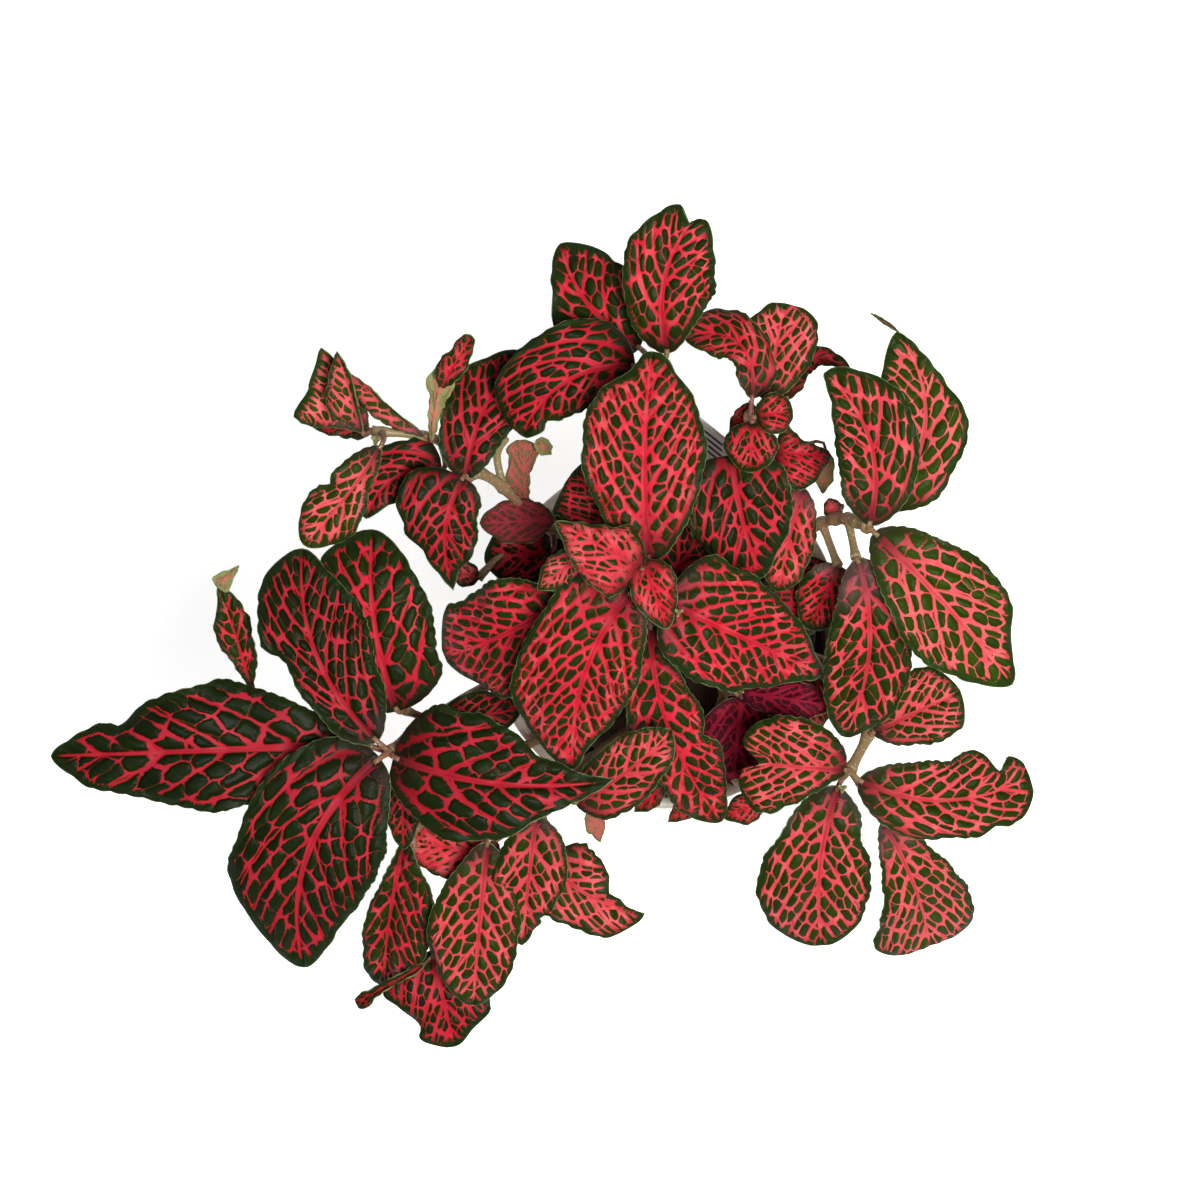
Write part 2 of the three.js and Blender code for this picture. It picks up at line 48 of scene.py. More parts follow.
def seen(pixelX, pixelY, z):  # millimetres, from a pixel of the photograph and a height
    eyeX, eyeY, eyeZ = view["eye"]
    spread = view["mmPerPixel"] * (eyeZ - z) / (eyeZ - view["planeZ"])
    right, down = pixelX - view["middle"], pixelY - view["middle"]
    return Vector((eyeX + right * spread, eyeY - down * spread, z))


def addCamera():
    lens = bpy.data.cameras.new("overheadCamera")
    shownWidth = view["mmPerPixel"] * 2 * view["middle"]
    lens.sensor_width = view["sensor"]
    lens.lens = view["sensor"] * (view["eye"][2] - view["planeZ"]) / shownWidth
    lens.clip_end = 20
    camera = bpy.data.objects.new("overheadCamera", lens)
    camera.location = Vector(view["eye"]) * mm
    bpy.context.scene.collection.objects.link(camera)
    bpy.context.scene.camera = camera


addCamera()
print("camera set")


# Small helpers for pieces and shaders

def piece(name, bm, materials, replaced=(), smooth=True):
    mesh = bpy.data.meshes.new(name)
    bm.to_mesh(mesh)
    bm.free()
    for material in materials:
        mesh.materials.append(material)
    for face in mesh.polygons:
        face.use_smooth = smooth
    made = bpy.data.objects.new(name, mesh)
    bpy.context.scene.collection.objects.link(made)
    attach(made, body)
    if replaced:
        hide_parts(*replaced)
    return made


def paint(red, green, blue):  # a colour as a paint program gives it, 0 to 255
    shares = [part / 255 for part in (red, green, blue)]
    linear = [s / 12.92 if s <= 0.04045 else ((s + 0.055) / 1.055) ** 2.4 for s in shares]
    return (*linear, 1)


class Wire:  # a value on its way through a shader: arithmetic on it adds Math nodes
    def __init__(self, graph, socket):
        self.graph, self.socket = graph, socket

    def __add__(self, other):
        return self.graph.maths("ADD", self, other)

    def __sub__(self, other):
        return self.graph.maths("SUBTRACT", self, other)

    def __mul__(self, other):
        return self.graph.maths("MULTIPLY", self, other)

    def __truediv__(self, other):
        return self.graph.maths("DIVIDE", self, other)

    def __pow__(self, other):
        return self.graph.maths("POWER", self, other)

    def __abs__(self):
        return self.graph.maths("ABSOLUTE", self)


class Graph:  # a node tree, with the steps that the materials here share
    def __init__(self, tree):
        self.tree = tree

    def fill(self, sockets, values):
        for name, value in values.items():
            if isinstance(value, Wire):
                self.tree.links.new(value.socket, sockets[name])
            else:
                sockets[name].default_value = value

    def add(self, kind, inputs=None, **settings):  # gives the outputs by name and by number
        made = self.tree.nodes.new(kind)
        for name, value in settings.items():
            setattr(made, name, value)
        self.fill(made.inputs, inputs or {})
        return {key: Wire(self, out) for number, out in enumerate(made.outputs) for key in (out.name, number)}

    def maths(self, operation, *values, clamp=False):
        return self.add("ShaderNodeMath", dict(enumerate(values)), operation=operation, use_clamp=clamp)[0]

    def vectors(self, operation, *values):
        made = self.add("ShaderNodeVectorMath", dict(enumerate(values)), operation=operation)
        return made["Value" if operation == "LENGTH" else "Vector"]

    def ease(self, value, low, high, start=0, end=1):  # from start to end as value goes from low to high
        given = dict(enumerate((value, low, high, start, end)))
        return self.add("ShaderNodeMapRange", given, interpolation_type="SMOOTHSTEP")[0]

    def mix(self, share, first, second, how="MIX"):
        return self.add("ShaderNodeMix", {0: share, 6: first, 7: second}, data_type="RGBA", blend_type=how)[2]

    def coats(self, colour, *layers):  # lays each colour over the last by its share
        for share, coat in layers:
            colour = self.mix(share, colour, coat)
        return colour

    def clouds(self, place, scale, detail=2, rough=0.5, give="Fac"):
        given = {"Vector": place, "Scale": scale, "Detail": detail, "Roughness": rough}
        return self.add("ShaderNodeTexNoise", given)[give]

    def bump(self, height, strength, distance):
        return self.add("ShaderNodeBump", {"Height": height, "Strength": strength, "Distance": distance})[0]

    def parts(self, vector):
        made = self.add("ShaderNodeSeparateXYZ", {0: vector})
        return [made[number] for number in range(3)]

    def joined(self, *values):
        return self.add("ShaderNodeCombineXYZ", dict(enumerate(values)))[0]

    def own(self, name):  # the piece's own value, kept on its mesh
        return self.add("ShaderNodeAttribute", attribute_name=name)["Vector"]

    def place(self):
        return self.add("ShaderNodeTexCoord")["Object"]


def newMaterial(name):
    material = bpy.data.materials.new(name)
    material.use_nodes = True
    tree = material.node_tree
    return material, Graph(tree), tree.nodes["Principled BSDF"].inputs


def newGroup(name, inputs, outputs):
    tree = bpy.data.node_groups.new(name, "ShaderNodeTree")
    for way, sockets in (("INPUT", inputs), ("OUTPUT", outputs)):
        for label, kind in sockets.items():
            tree.interface.new_socket(name=label, in_out=way, socket_type="NodeSocket" + kind)
    graph = Graph(tree)
    return graph, graph.add("NodeGroupInput"), tree.nodes.new("NodeGroupOutput").inputs


# Leaf vein net: midrib, side veins, a net of cells between them and a frayed fringe before the margin

blade = dict(
    grain=0.85, fewest=6, easing=0.5, thickness=0.4, narrowest=0.35, seedStep=1.7, seedSpan=13,
    crenate=0.6, crenateLength=3.4, ruffleLength=9, ruffleGain=2.2, outlineLength=8, outline=1.1,
    swellLength=17, swell=1.9, swellAcross=24, gather=0.22, leanAngle=35, fewPairs=2.2, pairLength=18,
    cellLength=0.46, groove=0.85, grooveWidth=1.3, ribGroove=0.5, ribGrooveWidth=1.2,
    marginSteps=3, marginFewest=60, ruffleWidth=24, swellWidth=30, outlineWidth=35, crenateLean=0.5,
    laneDip=0.6, dipMargin=4, dipLength=50, flatShift=120,
)
veinNet = dict(
    laneNear=0.68, laneFar=0.43, laneShift=0.95, wander=0.5, wanderScale=0.22, fuzz=0.12, fuzzScale=1.1,
    jitter=0.68, lobing=0.22, lobingScale=0.9, netWidth=0.07, laneWidth=0.07, plainBold=0.6, outerGain=1.2,
    cornerStart=0.43, round=3, fineScale=1.6, fineShift=(7.3, 3.1, 0), fineWidth=0.7, fineHidden=0.4,
    sideWidth=0.58, sideTaper=0.45, ribWidth=1.4, ribTaper=0.8, border=2.1, borderScale=0.12,
    fringe=3.6, fringeScale=1.5, fringeReach=0.22,
)


def edgeDistance(graph, place, cellSize, jitter):  # millimetres to the nearest edge between two cells
    near, far = (graph.add("ShaderNodeTexVoronoi", {"Vector": place, "Scale": 1, "Randomness": jitter},
                           voronoi_dimensions="2D", feature=feature) for feature in ("F1", "F2"))
    apart = graph.vectors("SUBTRACT", far["Position"], near["Position"])
    apart = graph.vectors("DIVIDE", apart, cellSize)
    reach = graph.vectors("LENGTH", apart)
    distance = (far["Distance"] ** 2 - near["Distance"] ** 2) / (reach * 2)
    laneward = abs(graph.parts(apart)[0]) / reach
    return distance, laneward, near


def sway(graph, flat, scale, amount):  # a cloudy shift, to either side
    centred = graph.vectors("SUBTRACT", graph.clouds(flat, scale, give="Color"), (0.5, 0.5, 0.5))
    return graph.add("ShaderNodeVectorMath", {0: centred, "Scale": amount}, operation="SCALE")["Vector"]


def veinNetGroup():
    v = veinNet
    graph, given, result = newGroup(
        "leaf vein net",
        dict(Place="Vector", Flat="Vector", Edge="Vector", Bold="Float"),
        dict(Depth="Float", Quilt="Float", Main="Float", Cell="Color", Outward="Float"))
    flat, bold = given["Flat"], given["Bold"]
    lane, run, spacing = graph.parts(given["Place"])
    alongMm, acrossMm, share = graph.parts(flat)
    margin, arc, half = graph.parts(given["Edge"])
    outward = graph.maths("SUBTRACT", 1, margin / half, clamp=True)

    # Cells of half a lane by a cell's length, seen as millimetres once divided by that size
    drift = sway(graph, flat, v["wanderScale"], v["wander"])
    fuzz = sway(graph, flat, v["fuzzScale"], v["fuzz"])
    net = graph.joined(lane * 2 + v["laneShift"], run)
    net = graph.vectors("ADD", graph.vectors("ADD", net, drift), fuzz)
    laneSize = spacing * (outward * (v["laneFar"] - v["laneNear"]) + v["laneNear"])
    size = graph.joined(laneSize * 0.5, spacing * blade["cellLength"], 1)
    coarse, laneward, cell = edgeDistance(graph, net, size, v["jitter"])
    corner = graph.maths("MAXIMUM", cell["Distance"] - v["cornerStart"], 0)
    lush = bold - v["plainBold"]
    growth = outward ** 2 * (lush * v["outerGain"]) + bold ** 2
    width = (laneward * v["laneWidth"] + v["netWidth"]) * growth + (bold * 0.1 - 0.1)
    ragged = (graph.clouds(flat, v["lobingScale"]) - 0.5) * v["lobing"]
    coarse = width - (coarse - corner * v["round"]) + ragged

    # Finer veins inside the cells of the bolder leaves
    fineNet = graph.vectors("MULTIPLY_ADD", net, (v["fineScale"],) * 3, v["fineShift"])
    fineSize = graph.vectors("MULTIPLY", size, (1 / v["fineScale"],) * 3)
    fineWidth = graph.ease(outward, 0.25, 0.8) * lush * v["fineWidth"] - v["fineHidden"]
    fine = fineWidth - edgeDistance(graph, fineNet, fineSize, 1)[0]

    wobble = lane + graph.parts(drift)[0] * 0.5 + graph.parts(fuzz)[0] * 0.5
    off = abs(graph.maths("FRACT", wobble + 0.5) - 0.5) * laneSize
    side = (outward * -v["sideTaper"] + 1) * v["sideWidth"] * (bold * 0.5 + 0.5) - off
    rib = (share * -v["ribTaper"] + 1) * (half * 0.04 + 0.2) * v["ribWidth"] - abs(acrossMm)
    main = graph.maths("MAXIMUM", side, rib)
    quilt = graph.maths("SMOOTH_MAX", coarse, main, 0.3)
    depth = graph.maths("SMOOTH_MAX", quilt, fine, 0.15)

    fray = graph.clouds(graph.joined(arc + alongMm, margin * v["fringeReach"]), v["fringeScale"], 1)
    border = (half * 0.03 + 0.35) * v["border"] * (bold * -0.4 + 1.4)
    border = border * (graph.clouds(flat, v["borderScale"], 1) * 0.9 + 0.55)
    inside = margin - (border + (fray - 0.5) * v["fringe"])
    depth = graph.maths("SMOOTH_MIN", depth, inside * 0.7, 0.25)
    graph.fill(result, {"Depth": depth, "Quilt": quilt, "Main": main, "Cell": cell["Color"],
                        "Outward": outward})
    return graph.tree


netGroup = veinNetGroup()

leafTopColours = dict(
    oldCell=paint(20, 31, 8), freshCell=paint(44, 66, 5), margin=paint(32, 48, 17), seam=paint(84, 46, 18),
    oldVein=paint(178, 42, 58), smallVein=paint(172, 22, 34), bigVein=paint(218, 38, 60),
    # The darkest vein crimson on the next line is partly the veins' own deeper colour at the heel and partly
    # painted shade, of the crowded whorl centre and of the midrib groove.
    freshVein=paint(224, 88, 92), paleVein=paint(240, 122, 120), innerVeinShade=paint(146, 12, 30),
    # The foot colour on the next line is painted shade, laid on each blade's heel.
    rimVein=paint(112, 32, 26), ribFoot=paint(128, 44, 54), foot=paint(34, 10, 12),
    # The pale edge colour on the next line is a painted highlight along the margin, together with the
    # margin's own pale hairs.
    edgeHighlight=paint(128, 142, 92), bloom=paint(142, 100, 104), roughness=0.4, grainRoughness=0.14, gloss=0.1,
)
leafUnderColours = dict(
    paleCell=paint(132, 142, 86), paleVein=paint(204, 106, 98), deepCell=paint(62, 9, 22),
    deepVein=paint(138, 18, 44), roughness=0.6, gloss=0.12,
)


def leafInputs(graph):
    fresh, bold, pale = graph.parts(graph.own("leafLook"))
    flat, edge = graph.own("leafFlat"), graph.own("leafEdge")
    given = {"Place": graph.own("veinPlace"), "Flat": flat, "Edge": edge, "Bold": bold}
    return fresh, pale, flat, edge, graph.add("ShaderNodeGroup", given, node_tree=netGroup)


def leafTopMaterial():
    colours = leafTopColours
    material, graph, shader = newMaterial("leafTop")
    fresh, pale, flat, edge, net = leafInputs(graph)
    depth, ease = net["Depth"], graph.ease
    margin = graph.parts(edge)[0]
    _, acrossMm, share = graph.parts(flat)
    offRib = abs(acrossMm)
    mottle = graph.clouds(flat, 0.35, 3)
    grain = graph.clouds(flat, 2.6)

    lightness = graph.parts(net["Cell"])[0] * 0.5 + 0.55 + mottle * 0.4
    green = graph.mix(fresh, colours["oldCell"], colours["freshCell"])
    green = graph.mix(1, green, graph.joined(lightness, lightness, lightness), "MULTIPLY")
    green = graph.mix(ease(margin, 3.4, 1.2) * 0.5, green, colours["margin"])

    newer = ease(fresh, 0.25, 0.85)
    thin = graph.mix(newer * 0.7, colours["smallVein"], colours["freshVein"])
    thick = graph.mix(ease(fresh, 0, 0.3), colours["oldVein"], colours["bigVein"])
    thick = graph.mix(newer, thick, colours["freshVein"])
    # Pale pink patches on the outer veins of fresher leaves, placed by cloudy noise: partly the veins' own
    # paler tone, partly painted highlight standing in for the leaves' undulating sheen.
    paleHighlightPatch = ease(net["Outward"], 0.2, 0.8) * ease(mottle, 0.42, 0.62)
    foot = ease(net["Main"], 0, 0.5) * ease(share, 0.35, 0) * ease(offRib, 3, 1)
    vein = graph.coats(
        thin,
        (ease(depth, 0, 0.5), thick),
        (paleHighlightPatch * ease(fresh, 0.1, 0.5, 0, 0.5), colours["paleVein"]),
        # Veins deepen to the darkest crimson towards the heel: partly their own deeper colour there, partly
        # painted shade where the blades crowd together.
        (ease(share, 0.4, 0, 0, 0.7), colours["innerVeinShade"]),
        (ease(margin, 3.5, 0.8, 0, 0.7), colours["rimVein"]),
        (foot * 0.75, colours["ribFoot"]),
        # A thin line of the darkest crimson along the middle of the midrib in the blade's lower part: painted
        # shade in the midrib groove.
        (ease(offRib, 0.6, 0.15, 0, 0.6) * ease(share, 0.85, 0.5), colours["innerVeinShade"]),
        (grain * 0.3, thin))

    colour = graph.coats(
        green,
        (ease(depth, -0.3, -0.1, 0, 0.4), colours["seam"]),
        (ease(depth, -0.13, 0.03), vein),
        (ease(share, 0.34, 0.02) * pale * 0.5, colours["bloom"]),
        # Painted shade: the blade darkens to near black towards its heel, where the blades crowd into the
        # whorl's shade.
        (ease(share, 0.2, 0, 0, 0.6), colours["foot"]),
        # A pale line on the very margin: painted highlight of the tilted edge, together with its fine pale
        # hairs.
        (ease(margin, 0.42, 0.12, 0, 0.75), colours["edgeHighlight"]))
    height = ease(net["Quilt"], -1.6, 0.2, 0.6, 0) + grain * 0.05
    graph.fill(shader, {
        "Base Color": colour, "Normal": graph.bump(height, 1, 0.9 * mm),
        "Roughness": grain * colours["grainRoughness"] + colours["roughness"],
        "Specular IOR Level": colours["gloss"]})
    return material


def leafUnderMaterial():
    colours = leafUnderColours
    material, graph, shader = newMaterial("leafUnderside")
    _, pale, flat, _, net = leafInputs(graph)
    grain = graph.clouds(flat, 1.2, 3)
    vein = graph.ease(net["Depth"], -0.3, 0.2)
    deep = graph.mix(vein, colours["deepCell"], colours["deepVein"])
    light = graph.mix(vein, colours["paleCell"], colours["paleVein"])
    graph.fill(shader, {
        "Base Color": graph.coats(deep, (pale, light), (grain * pale * 0.5, colours["paleCell"])),
        "Normal": graph.bump(vein * 0.35 + grain * 0.08, 0.8, mm),
        "Roughness": colours["roughness"], "Specular IOR Level": colours["gloss"]})
    return material


leafTop = leafTopMaterial()
leafUnder = leafUnderMaterial()


# Stems and stalks: brown-red to olive skin with pale specks, and fine white hairs

stemColours = dict(
    skin=paint(120, 82, 54), olive=paint(146, 144, 90), flush=paint(138, 68, 62), speck=paint(214, 200, 180),
    hair=paint(226, 216, 206), roughness=0.5, hairRoughness=0.6,
)


def stemMaterial():
    colours = stemColours
    material, graph, shader = newMaterial("stemSkin")
    place = graph.place()
    streak = graph.clouds(place, 420, 3)
    colour = graph.coats(
        colours["skin"],
        (graph.ease(graph.clouds(place, 60), 0.4, 0.62), colours["flush"]),
        (graph.parts(graph.own("stemAge"))[0], colours["olive"]),
        (streak * 0.4, colours["skin"]),
        (graph.ease(graph.clouds(place, 1500, 1), 0.62, 0.72, 0, 0.6), colours["speck"]))
    graph.fill(shader, {"Base Color": colour, "Normal": graph.bump(streak, 0.5, 0.3 * mm),
                        "Roughness": colours["roughness"]})
    return material


def hairMaterial():
    material, graph, shader = newMaterial("stemHair")
    tint = graph.clouds(graph.place(), 300)
    graph.fill(shader, {"Base Color": graph.mix(tint, stemColours["hair"], stemColours["olive"]),
                        "Roughness": stemColours["hairRoughness"]})
    return material


stemSkin = stemMaterial()
stemHair = hairMaterial()
print("leaf and stem materials made")


# The shoots. A leaf is placed by its two ends: a pixel seen from above and a height in millimetres.
# Width, arch, bend, wave and ruffle are in millimetres, and so are edges, the half-widths to the left
# and right from heel to tip. Roll, fold and cup are in degrees. A lobe is a place along, a side,
# a reach and a span; a notch in the tip is a place across, a depth and a span. look is how fresh, how
# boldly veined and how pale a leaf is, and a leaf without a stalk grows from another blade.

plain = dict(
    arch=5, bend=0, roll=0, fold=14, cup=-34, wave=1.2, waves=2.5, widest=0.47,
    tipFullness=0.6, heelFullness=0.55, edges=None, lobes=(), notch=None, ruffle=0.6, slant=1.1, sweep=0.4,
    pairs=1, stalk=True, look=None,
)
stemSizes = dict(radius=1.7, branch=1.3, stalk=1.05, joint=0.45, jointSpan=2.4, rootZ=72, soilZ=100,
                 clear=6, sides=10)


def leaf(base, tip, width, **form):
    return dict(plain, base=base, tip=tip, width=width, **form)


shoots = {}
shoots["crown"] = dict(root=(-4, 10), look=(0.35, 1.15, 0), stems=[
    [(655, 600, 150), (650, 582, 207)],
], leaves=[
    leaf((649, 561, 207), (652, 351, 214), 41, arch=7, bend=2, tipFullness=0.4, heelFullness=0.4,
         ruffle=0.9, pairs=1.2, look=(0.35, 1.08, 0),
         edges=((6.5, 14, 18.5, 20.5, 19.5, 16, 5), (9, 15, 18.5, 20, 19, 16, 8))),
    leaf((643, 570, 213), (555, 521, 218), 23, arch=3, cup=-40, look=(0.45, 1.35, 0),
         edges=((11.5, 13, 12, 8.5, 3), (7, 10.5, 7, 4.5, 2))),
    leaf((643, 560, 212), (667, 629, 209), 17, arch=4, fold=24, look=(0.35, 1.2, 0),
         edges=((5.5, 8, 7.5, 6, 3), (4.7, 7.3, 7.8, 6, 3))),
    leaf((632, 590, 207), (573, 770, 172), 41, arch=8, bend=-6, heelFullness=0.4, pairs=1.2,
         look=(0.35, 1.12, 0), edges=((11, 16, 17, 13.5, 4.5), (17, 20.5, 22, 21.5, 11.5))),
    leaf((666, 602, 205), (823, 675, 167), 38, arch=9, heelFullness=0.3, pairs=1.15, look=(0.35, 1, 0),
         edges=((19, 20, 18.5, 14, 6), (15, 19, 18.5, 13, 5))),
    leaf((562, 600, 197), (444, 657, 160), 38, arch=6, bend=2,
         edges=((9, 16, 19, 19, 9), (10, 16, 18, 16, 13))),
    leaf((650, 622, 190), (722, 822, 138), 29, arch=1, bend=-6, heelFullness=0.35,
         edges=((3.5, 10, 12.8, 13.8, 7.5), (5.5, 11.5, 13, 10.5, 8.2)), lobes=((0.57, 1, -3, 0.04),)),
    leaf((581, 555, 204), (537, 590, 203), 14, arch=2, look=(0.6, 0.75, 0.2),
         edges=((4, 6, 6, 5, 2), (4, 5.5, 6, 5, 2))),
    leaf((622, 512, 190), (572, 472, 193), 26, arch=4, look=(0, 0.7, 0),
         edges=((8, 12, 14, 14, 12), (8, 12, 12, 11, 8))),
    leaf((664, 588, 185), (720, 508, 167), 21, arch=3, look=(0, 0.7, 0)),
    leaf((664, 610, 138), (696, 668, 124), 16, arch=4, look=(0, 0.7, 0)),
], buds=[(678, 612, 206.5)])
shoots["back"] = dict(root=(2, 28), look=(0.15, 0.7, 0), stems=[
    [(655, 480, 138), (652, 366, 193)],
], leaves=[
    leaf((668, 354, 195), (698, 212, 206), 31, arch=5, bend=6, tipFullness=0.35, notch=(1.5, 4.5, 2.4),
         look=(0.35, 0.68, 0), edges=((7, 11.5, 14, 14.5, 9), (8, 14.5, 17.5, 14.5, 10))),
    leaf((640, 348, 186), (560, 243, 180), 32, arch=6, bend=5, look=(0.3, 0.5, 0), pairs=0.85,
         edges=((7, 12, 13.5, 8, 4), (9, 15, 17.5, 15.5, 9.5))),
    leaf((636, 366, 197), (521, 436, 193), 28, arch=7, bend=-7, tipFullness=0.4, heelFullness=0.4,
         edges=((6, 10, 11, 9, 6), (14, 18, 18, 17, 14)), lobes=((0.82, 1, -2.5, 0.04),)),
    leaf((650, 480, 136), (598, 462, 124), 16, arch=4),
])
shoots["backRight"] = dict(root=(25, 20), look=(0.2, 0.9, 0), stems=[
    [(756, 500, 145), (751, 415, 192)],
], leaves=[
    leaf((752, 399, 192), (685, 334, 185), 15, arch=6, bend=-9.5, tipFullness=0.35, look=(0.4, 0.95, 0.1),
         edges=((4.5, 5, 6.5, 8, 6), (7, 8, 8.5, 10, 8.5))),
    leaf((766, 400, 180), (784, 303, 186), 24, arch=3, tipFullness=0.3, look=(0.6, 0.9, 0.2),
         edges=((6, 9, 11, 11.5, 7), (6, 10, 12.5, 13, 11))),
    leaf((787, 400, 172), (851, 371, 174), 9, arch=3, bend=9,
         edges=((4, 5, 5, 4, 2.5), (4, 4.5, 4.5, 3, 1.5))),
    leaf((755, 417, 195), (793, 410, 195), 14, arch=3, tipFullness=0.4, pairs=0.8, look=(0.3, 0.7, 0)),
    leaf((752, 422, 195), (750, 473, 191), 18, arch=4, heelFullness=0.4, pairs=0.8, look=(0.3, 0.75, 0)),
    leaf((731, 455, 189), (761, 579, 178), 34, arch=5, bend=-1.5, heelFullness=0.35, pairs=0.85,
         look=(0.15, 0.52, 0), edges=((15, 18, 17.5, 14, 6), (15, 19, 17, 14, 9.5))),
    leaf((775, 452, 176), (832, 456, 172), 17, arch=3, edges=((9, 7, 4.5, 3.5, 2), (9, 11.5, 12, 9, 4))),
    leaf((801, 486, 175), (777, 592, 170), 19, arch=4, look=(0.5, 1.2, 0.6),
         edges=((5, 8, 9, 8, 5.5), (6, 9, 10, 8, 5))),
    leaf((826, 449, 166), (823, 493, 158), 7, arch=2, roll=170, look=(0.5, 0.8, 1)),
    leaf((750, 402, 186), (731, 441, 180), 9, arch=2, bend=1),
])
shoots["right"] = dict(root=(30, 8), look=(0.8, 0.95, 0.3), stems=[
    [(792, 548, 145), (822, 523, 170), (848, 519, 185), (868, 527, 194)],
    [(822, 523, 170), (838, 566, 177)],
    [(848, 519, 185), (856, 558, 192)],
], leaves=[
    leaf((869, 526, 195), (824, 373, 201), 27, arch=5, bend=-7.5, roll=-8, tipFullness=0.5,
         look=(0.5, 0.56, 0.1), edges=((8.5, 11.5, 11.5, 9.5, 3.5), (8.5, 14, 16, 15, 8.5))),
    leaf((886, 508, 184), (897, 331, 188), 28, arch=5, bend=-10.5, tipFullness=0.6, look=(0.9, 0.5, 0),
         edges=((7, 12, 15, 14, 9), (10, 13, 14.5, 8, 3))),
    leaf((874, 532, 196), (1013, 685, 182), 36, arch=6, bend=1, heelFullness=0.5, tipFullness=0.7,
         look=(1, 0.74, 0.1), edges=((8.5, 15.5, 18.5, 17, 6), (8.5, 15, 18, 16.5, 8.5))),
    leaf((840, 566, 177), (808, 630, 166), 19, arch=2, heelFullness=0.35, look=(0.3, 0.8, 0.8)),
    leaf((857, 558, 193), (845, 738, 158), 29, arch=8, bend=5.5, look=(0.5, 0.56, 0.9),
         edges=((8, 13, 14.5, 14, 9), (7, 11.5, 14.5, 13.5, 8.5))),
    leaf((899, 332, 188), (871, 313, 190), 1.8, arch=1, fold=0, stalk=False),
    leaf((842, 505, 178), (824, 514, 175), 8, arch=1),
    leaf((788, 562, 139), (848, 606, 127), 16, arch=4),
])
shoots["frontRight"] = dict(root=(27, -10), look=(0.6, 0.88, 0.1), stems=[
    [(820, 660, 128), (878, 700, 145), (868, 735, 152), (850, 770, 159)],
], leaves=[
    leaf((847, 770, 162), (739, 762, 165), 33, arch=8, tipFullness=0.3, heelFullness=0.35, ruffle=0.8,
         notch=(-1.5, 7.5, 2.5), edges=((3.5, 8, 13, 16, 14.5), (10, 15, 17, 17, 12.5))),
    leaf((858, 780, 160), (1030, 776, 150), 27, arch=6, bend=-7, tipFullness=0.3,
         edges=((8, 12.5, 13, 15.5, 11), (8, 13, 13, 13.5, 11.5)),
         lobes=((0.85, 1, -6, 0.05), (0.75, -1, -1.5, 0.03))),
    leaf((838, 786, 154), (822, 946, 124), 37, arch=5, bend=-3.5, tipFullness=0.5,
         edges=((8.5, 13, 17, 17.5, 12.5), (8.5, 15, 19.5, 20.5, 15))),
    leaf((882, 822, 148), (931, 946, 112), 32, arch=6, bend=2, tipFullness=0.2, look=(0.9, 0.9, 0.6),
         edges=((6, 10.5, 14, 17.5, 16.5), (4.5, 8, 11, 15.5, 19))),
    leaf((872, 733, 155), (960, 690, 168), 25, arch=4, look=(0.7, 0.85, 0.3),
         edges=((4, 9, 12, 13, 9), (5.5, 9.5, 12, 12, 9.5))),
    leaf((806, 672, 124), (812, 736, 114), 16, arch=4),
], buds=[(842, 788, 155)])
shoots["left"] = dict(root=(-29, -9), look=(0.05, 0.4, 0), stems=[
    [(500, 680, 130), (430, 720, 156), (390, 752, 170)],
    [(430, 720, 156), (405, 710, 162)],
], leaves=[
    leaf((356, 744, 166), (50, 756, 158), 42, arch=8, tipFullness=0.7, heelFullness=0.6, wave=2,
         look=(0, 0.38, 0), pairs=0.75, edges=((10, 18, 20, 15.5, 9), (10, 20, 22, 16.5, 7.5)),
         lobes=((0.43, -1, 2, 0.05), (0.76, -1, -4, 0.05))),
    leaf((378, 742, 180), (302, 548, 174), 34, arch=6, bend=8, slant=1.5, look=(0.05, 0.27, 0),
         edges=((7.5, 9.5, 10.5, 16, 11.5), (11, 16, 19.5, 18.5, 9)), lobes=((0.6, 1, 2, 0.04),)),
    leaf((397, 712, 164), (372, 529, 168), 36, arch=8, bend=3, look=(0.2, 0.45, 0), heelFullness=0.4,
         pairs=0.75, edges=((9, 14, 17, 17, 14), (17, 19.5, 19.5, 16, 10))),
    leaf((393, 757, 174), (614, 779, 184), 41, arch=7, bend=-5, tipFullness=0.8, heelFullness=0.35,
         look=(0.05, 0.4, 0), pairs=0.8, edges=((20, 22, 19, 9, 2.5), (14, 21, 18, 10, 4))),
    leaf((380, 758, 176), (303, 968, 148), 47, arch=9, bend=-11, slant=1.3, heelFullness=0.4, pairs=0.8,
         edges=((14, 22.5, 24, 20, 10.5), (17, 23.5, 24, 24, 11.5))),
    leaf((252, 696, 158), (217, 588, 172), 11, arch=2, bend=-1, look=(0.35, 0, 0),
         edges=((1, 3.5, 6.5, 6, 1.5), (2, 5, 5.5, 6.5, 4.5))),
    leaf((217, 587, 172), (239, 566, 170), 8, arch=1, roll=180, stalk=False, heelFullness=0.2,
         tipFullness=0.8, look=(0.4, 0, 0.9), edges=((4, 3.2, 2.4, 1.6, 0.6), (3.4, 3, 2.4, 1.6, 0.6))),
    leaf((402, 770, 152), (404, 850, 146), 12, arch=2),
    leaf((436, 724, 155), (522, 708, 150), 17, arch=3),
    leaf((508, 668, 128), (452, 630, 116), 16, arch=4),
])
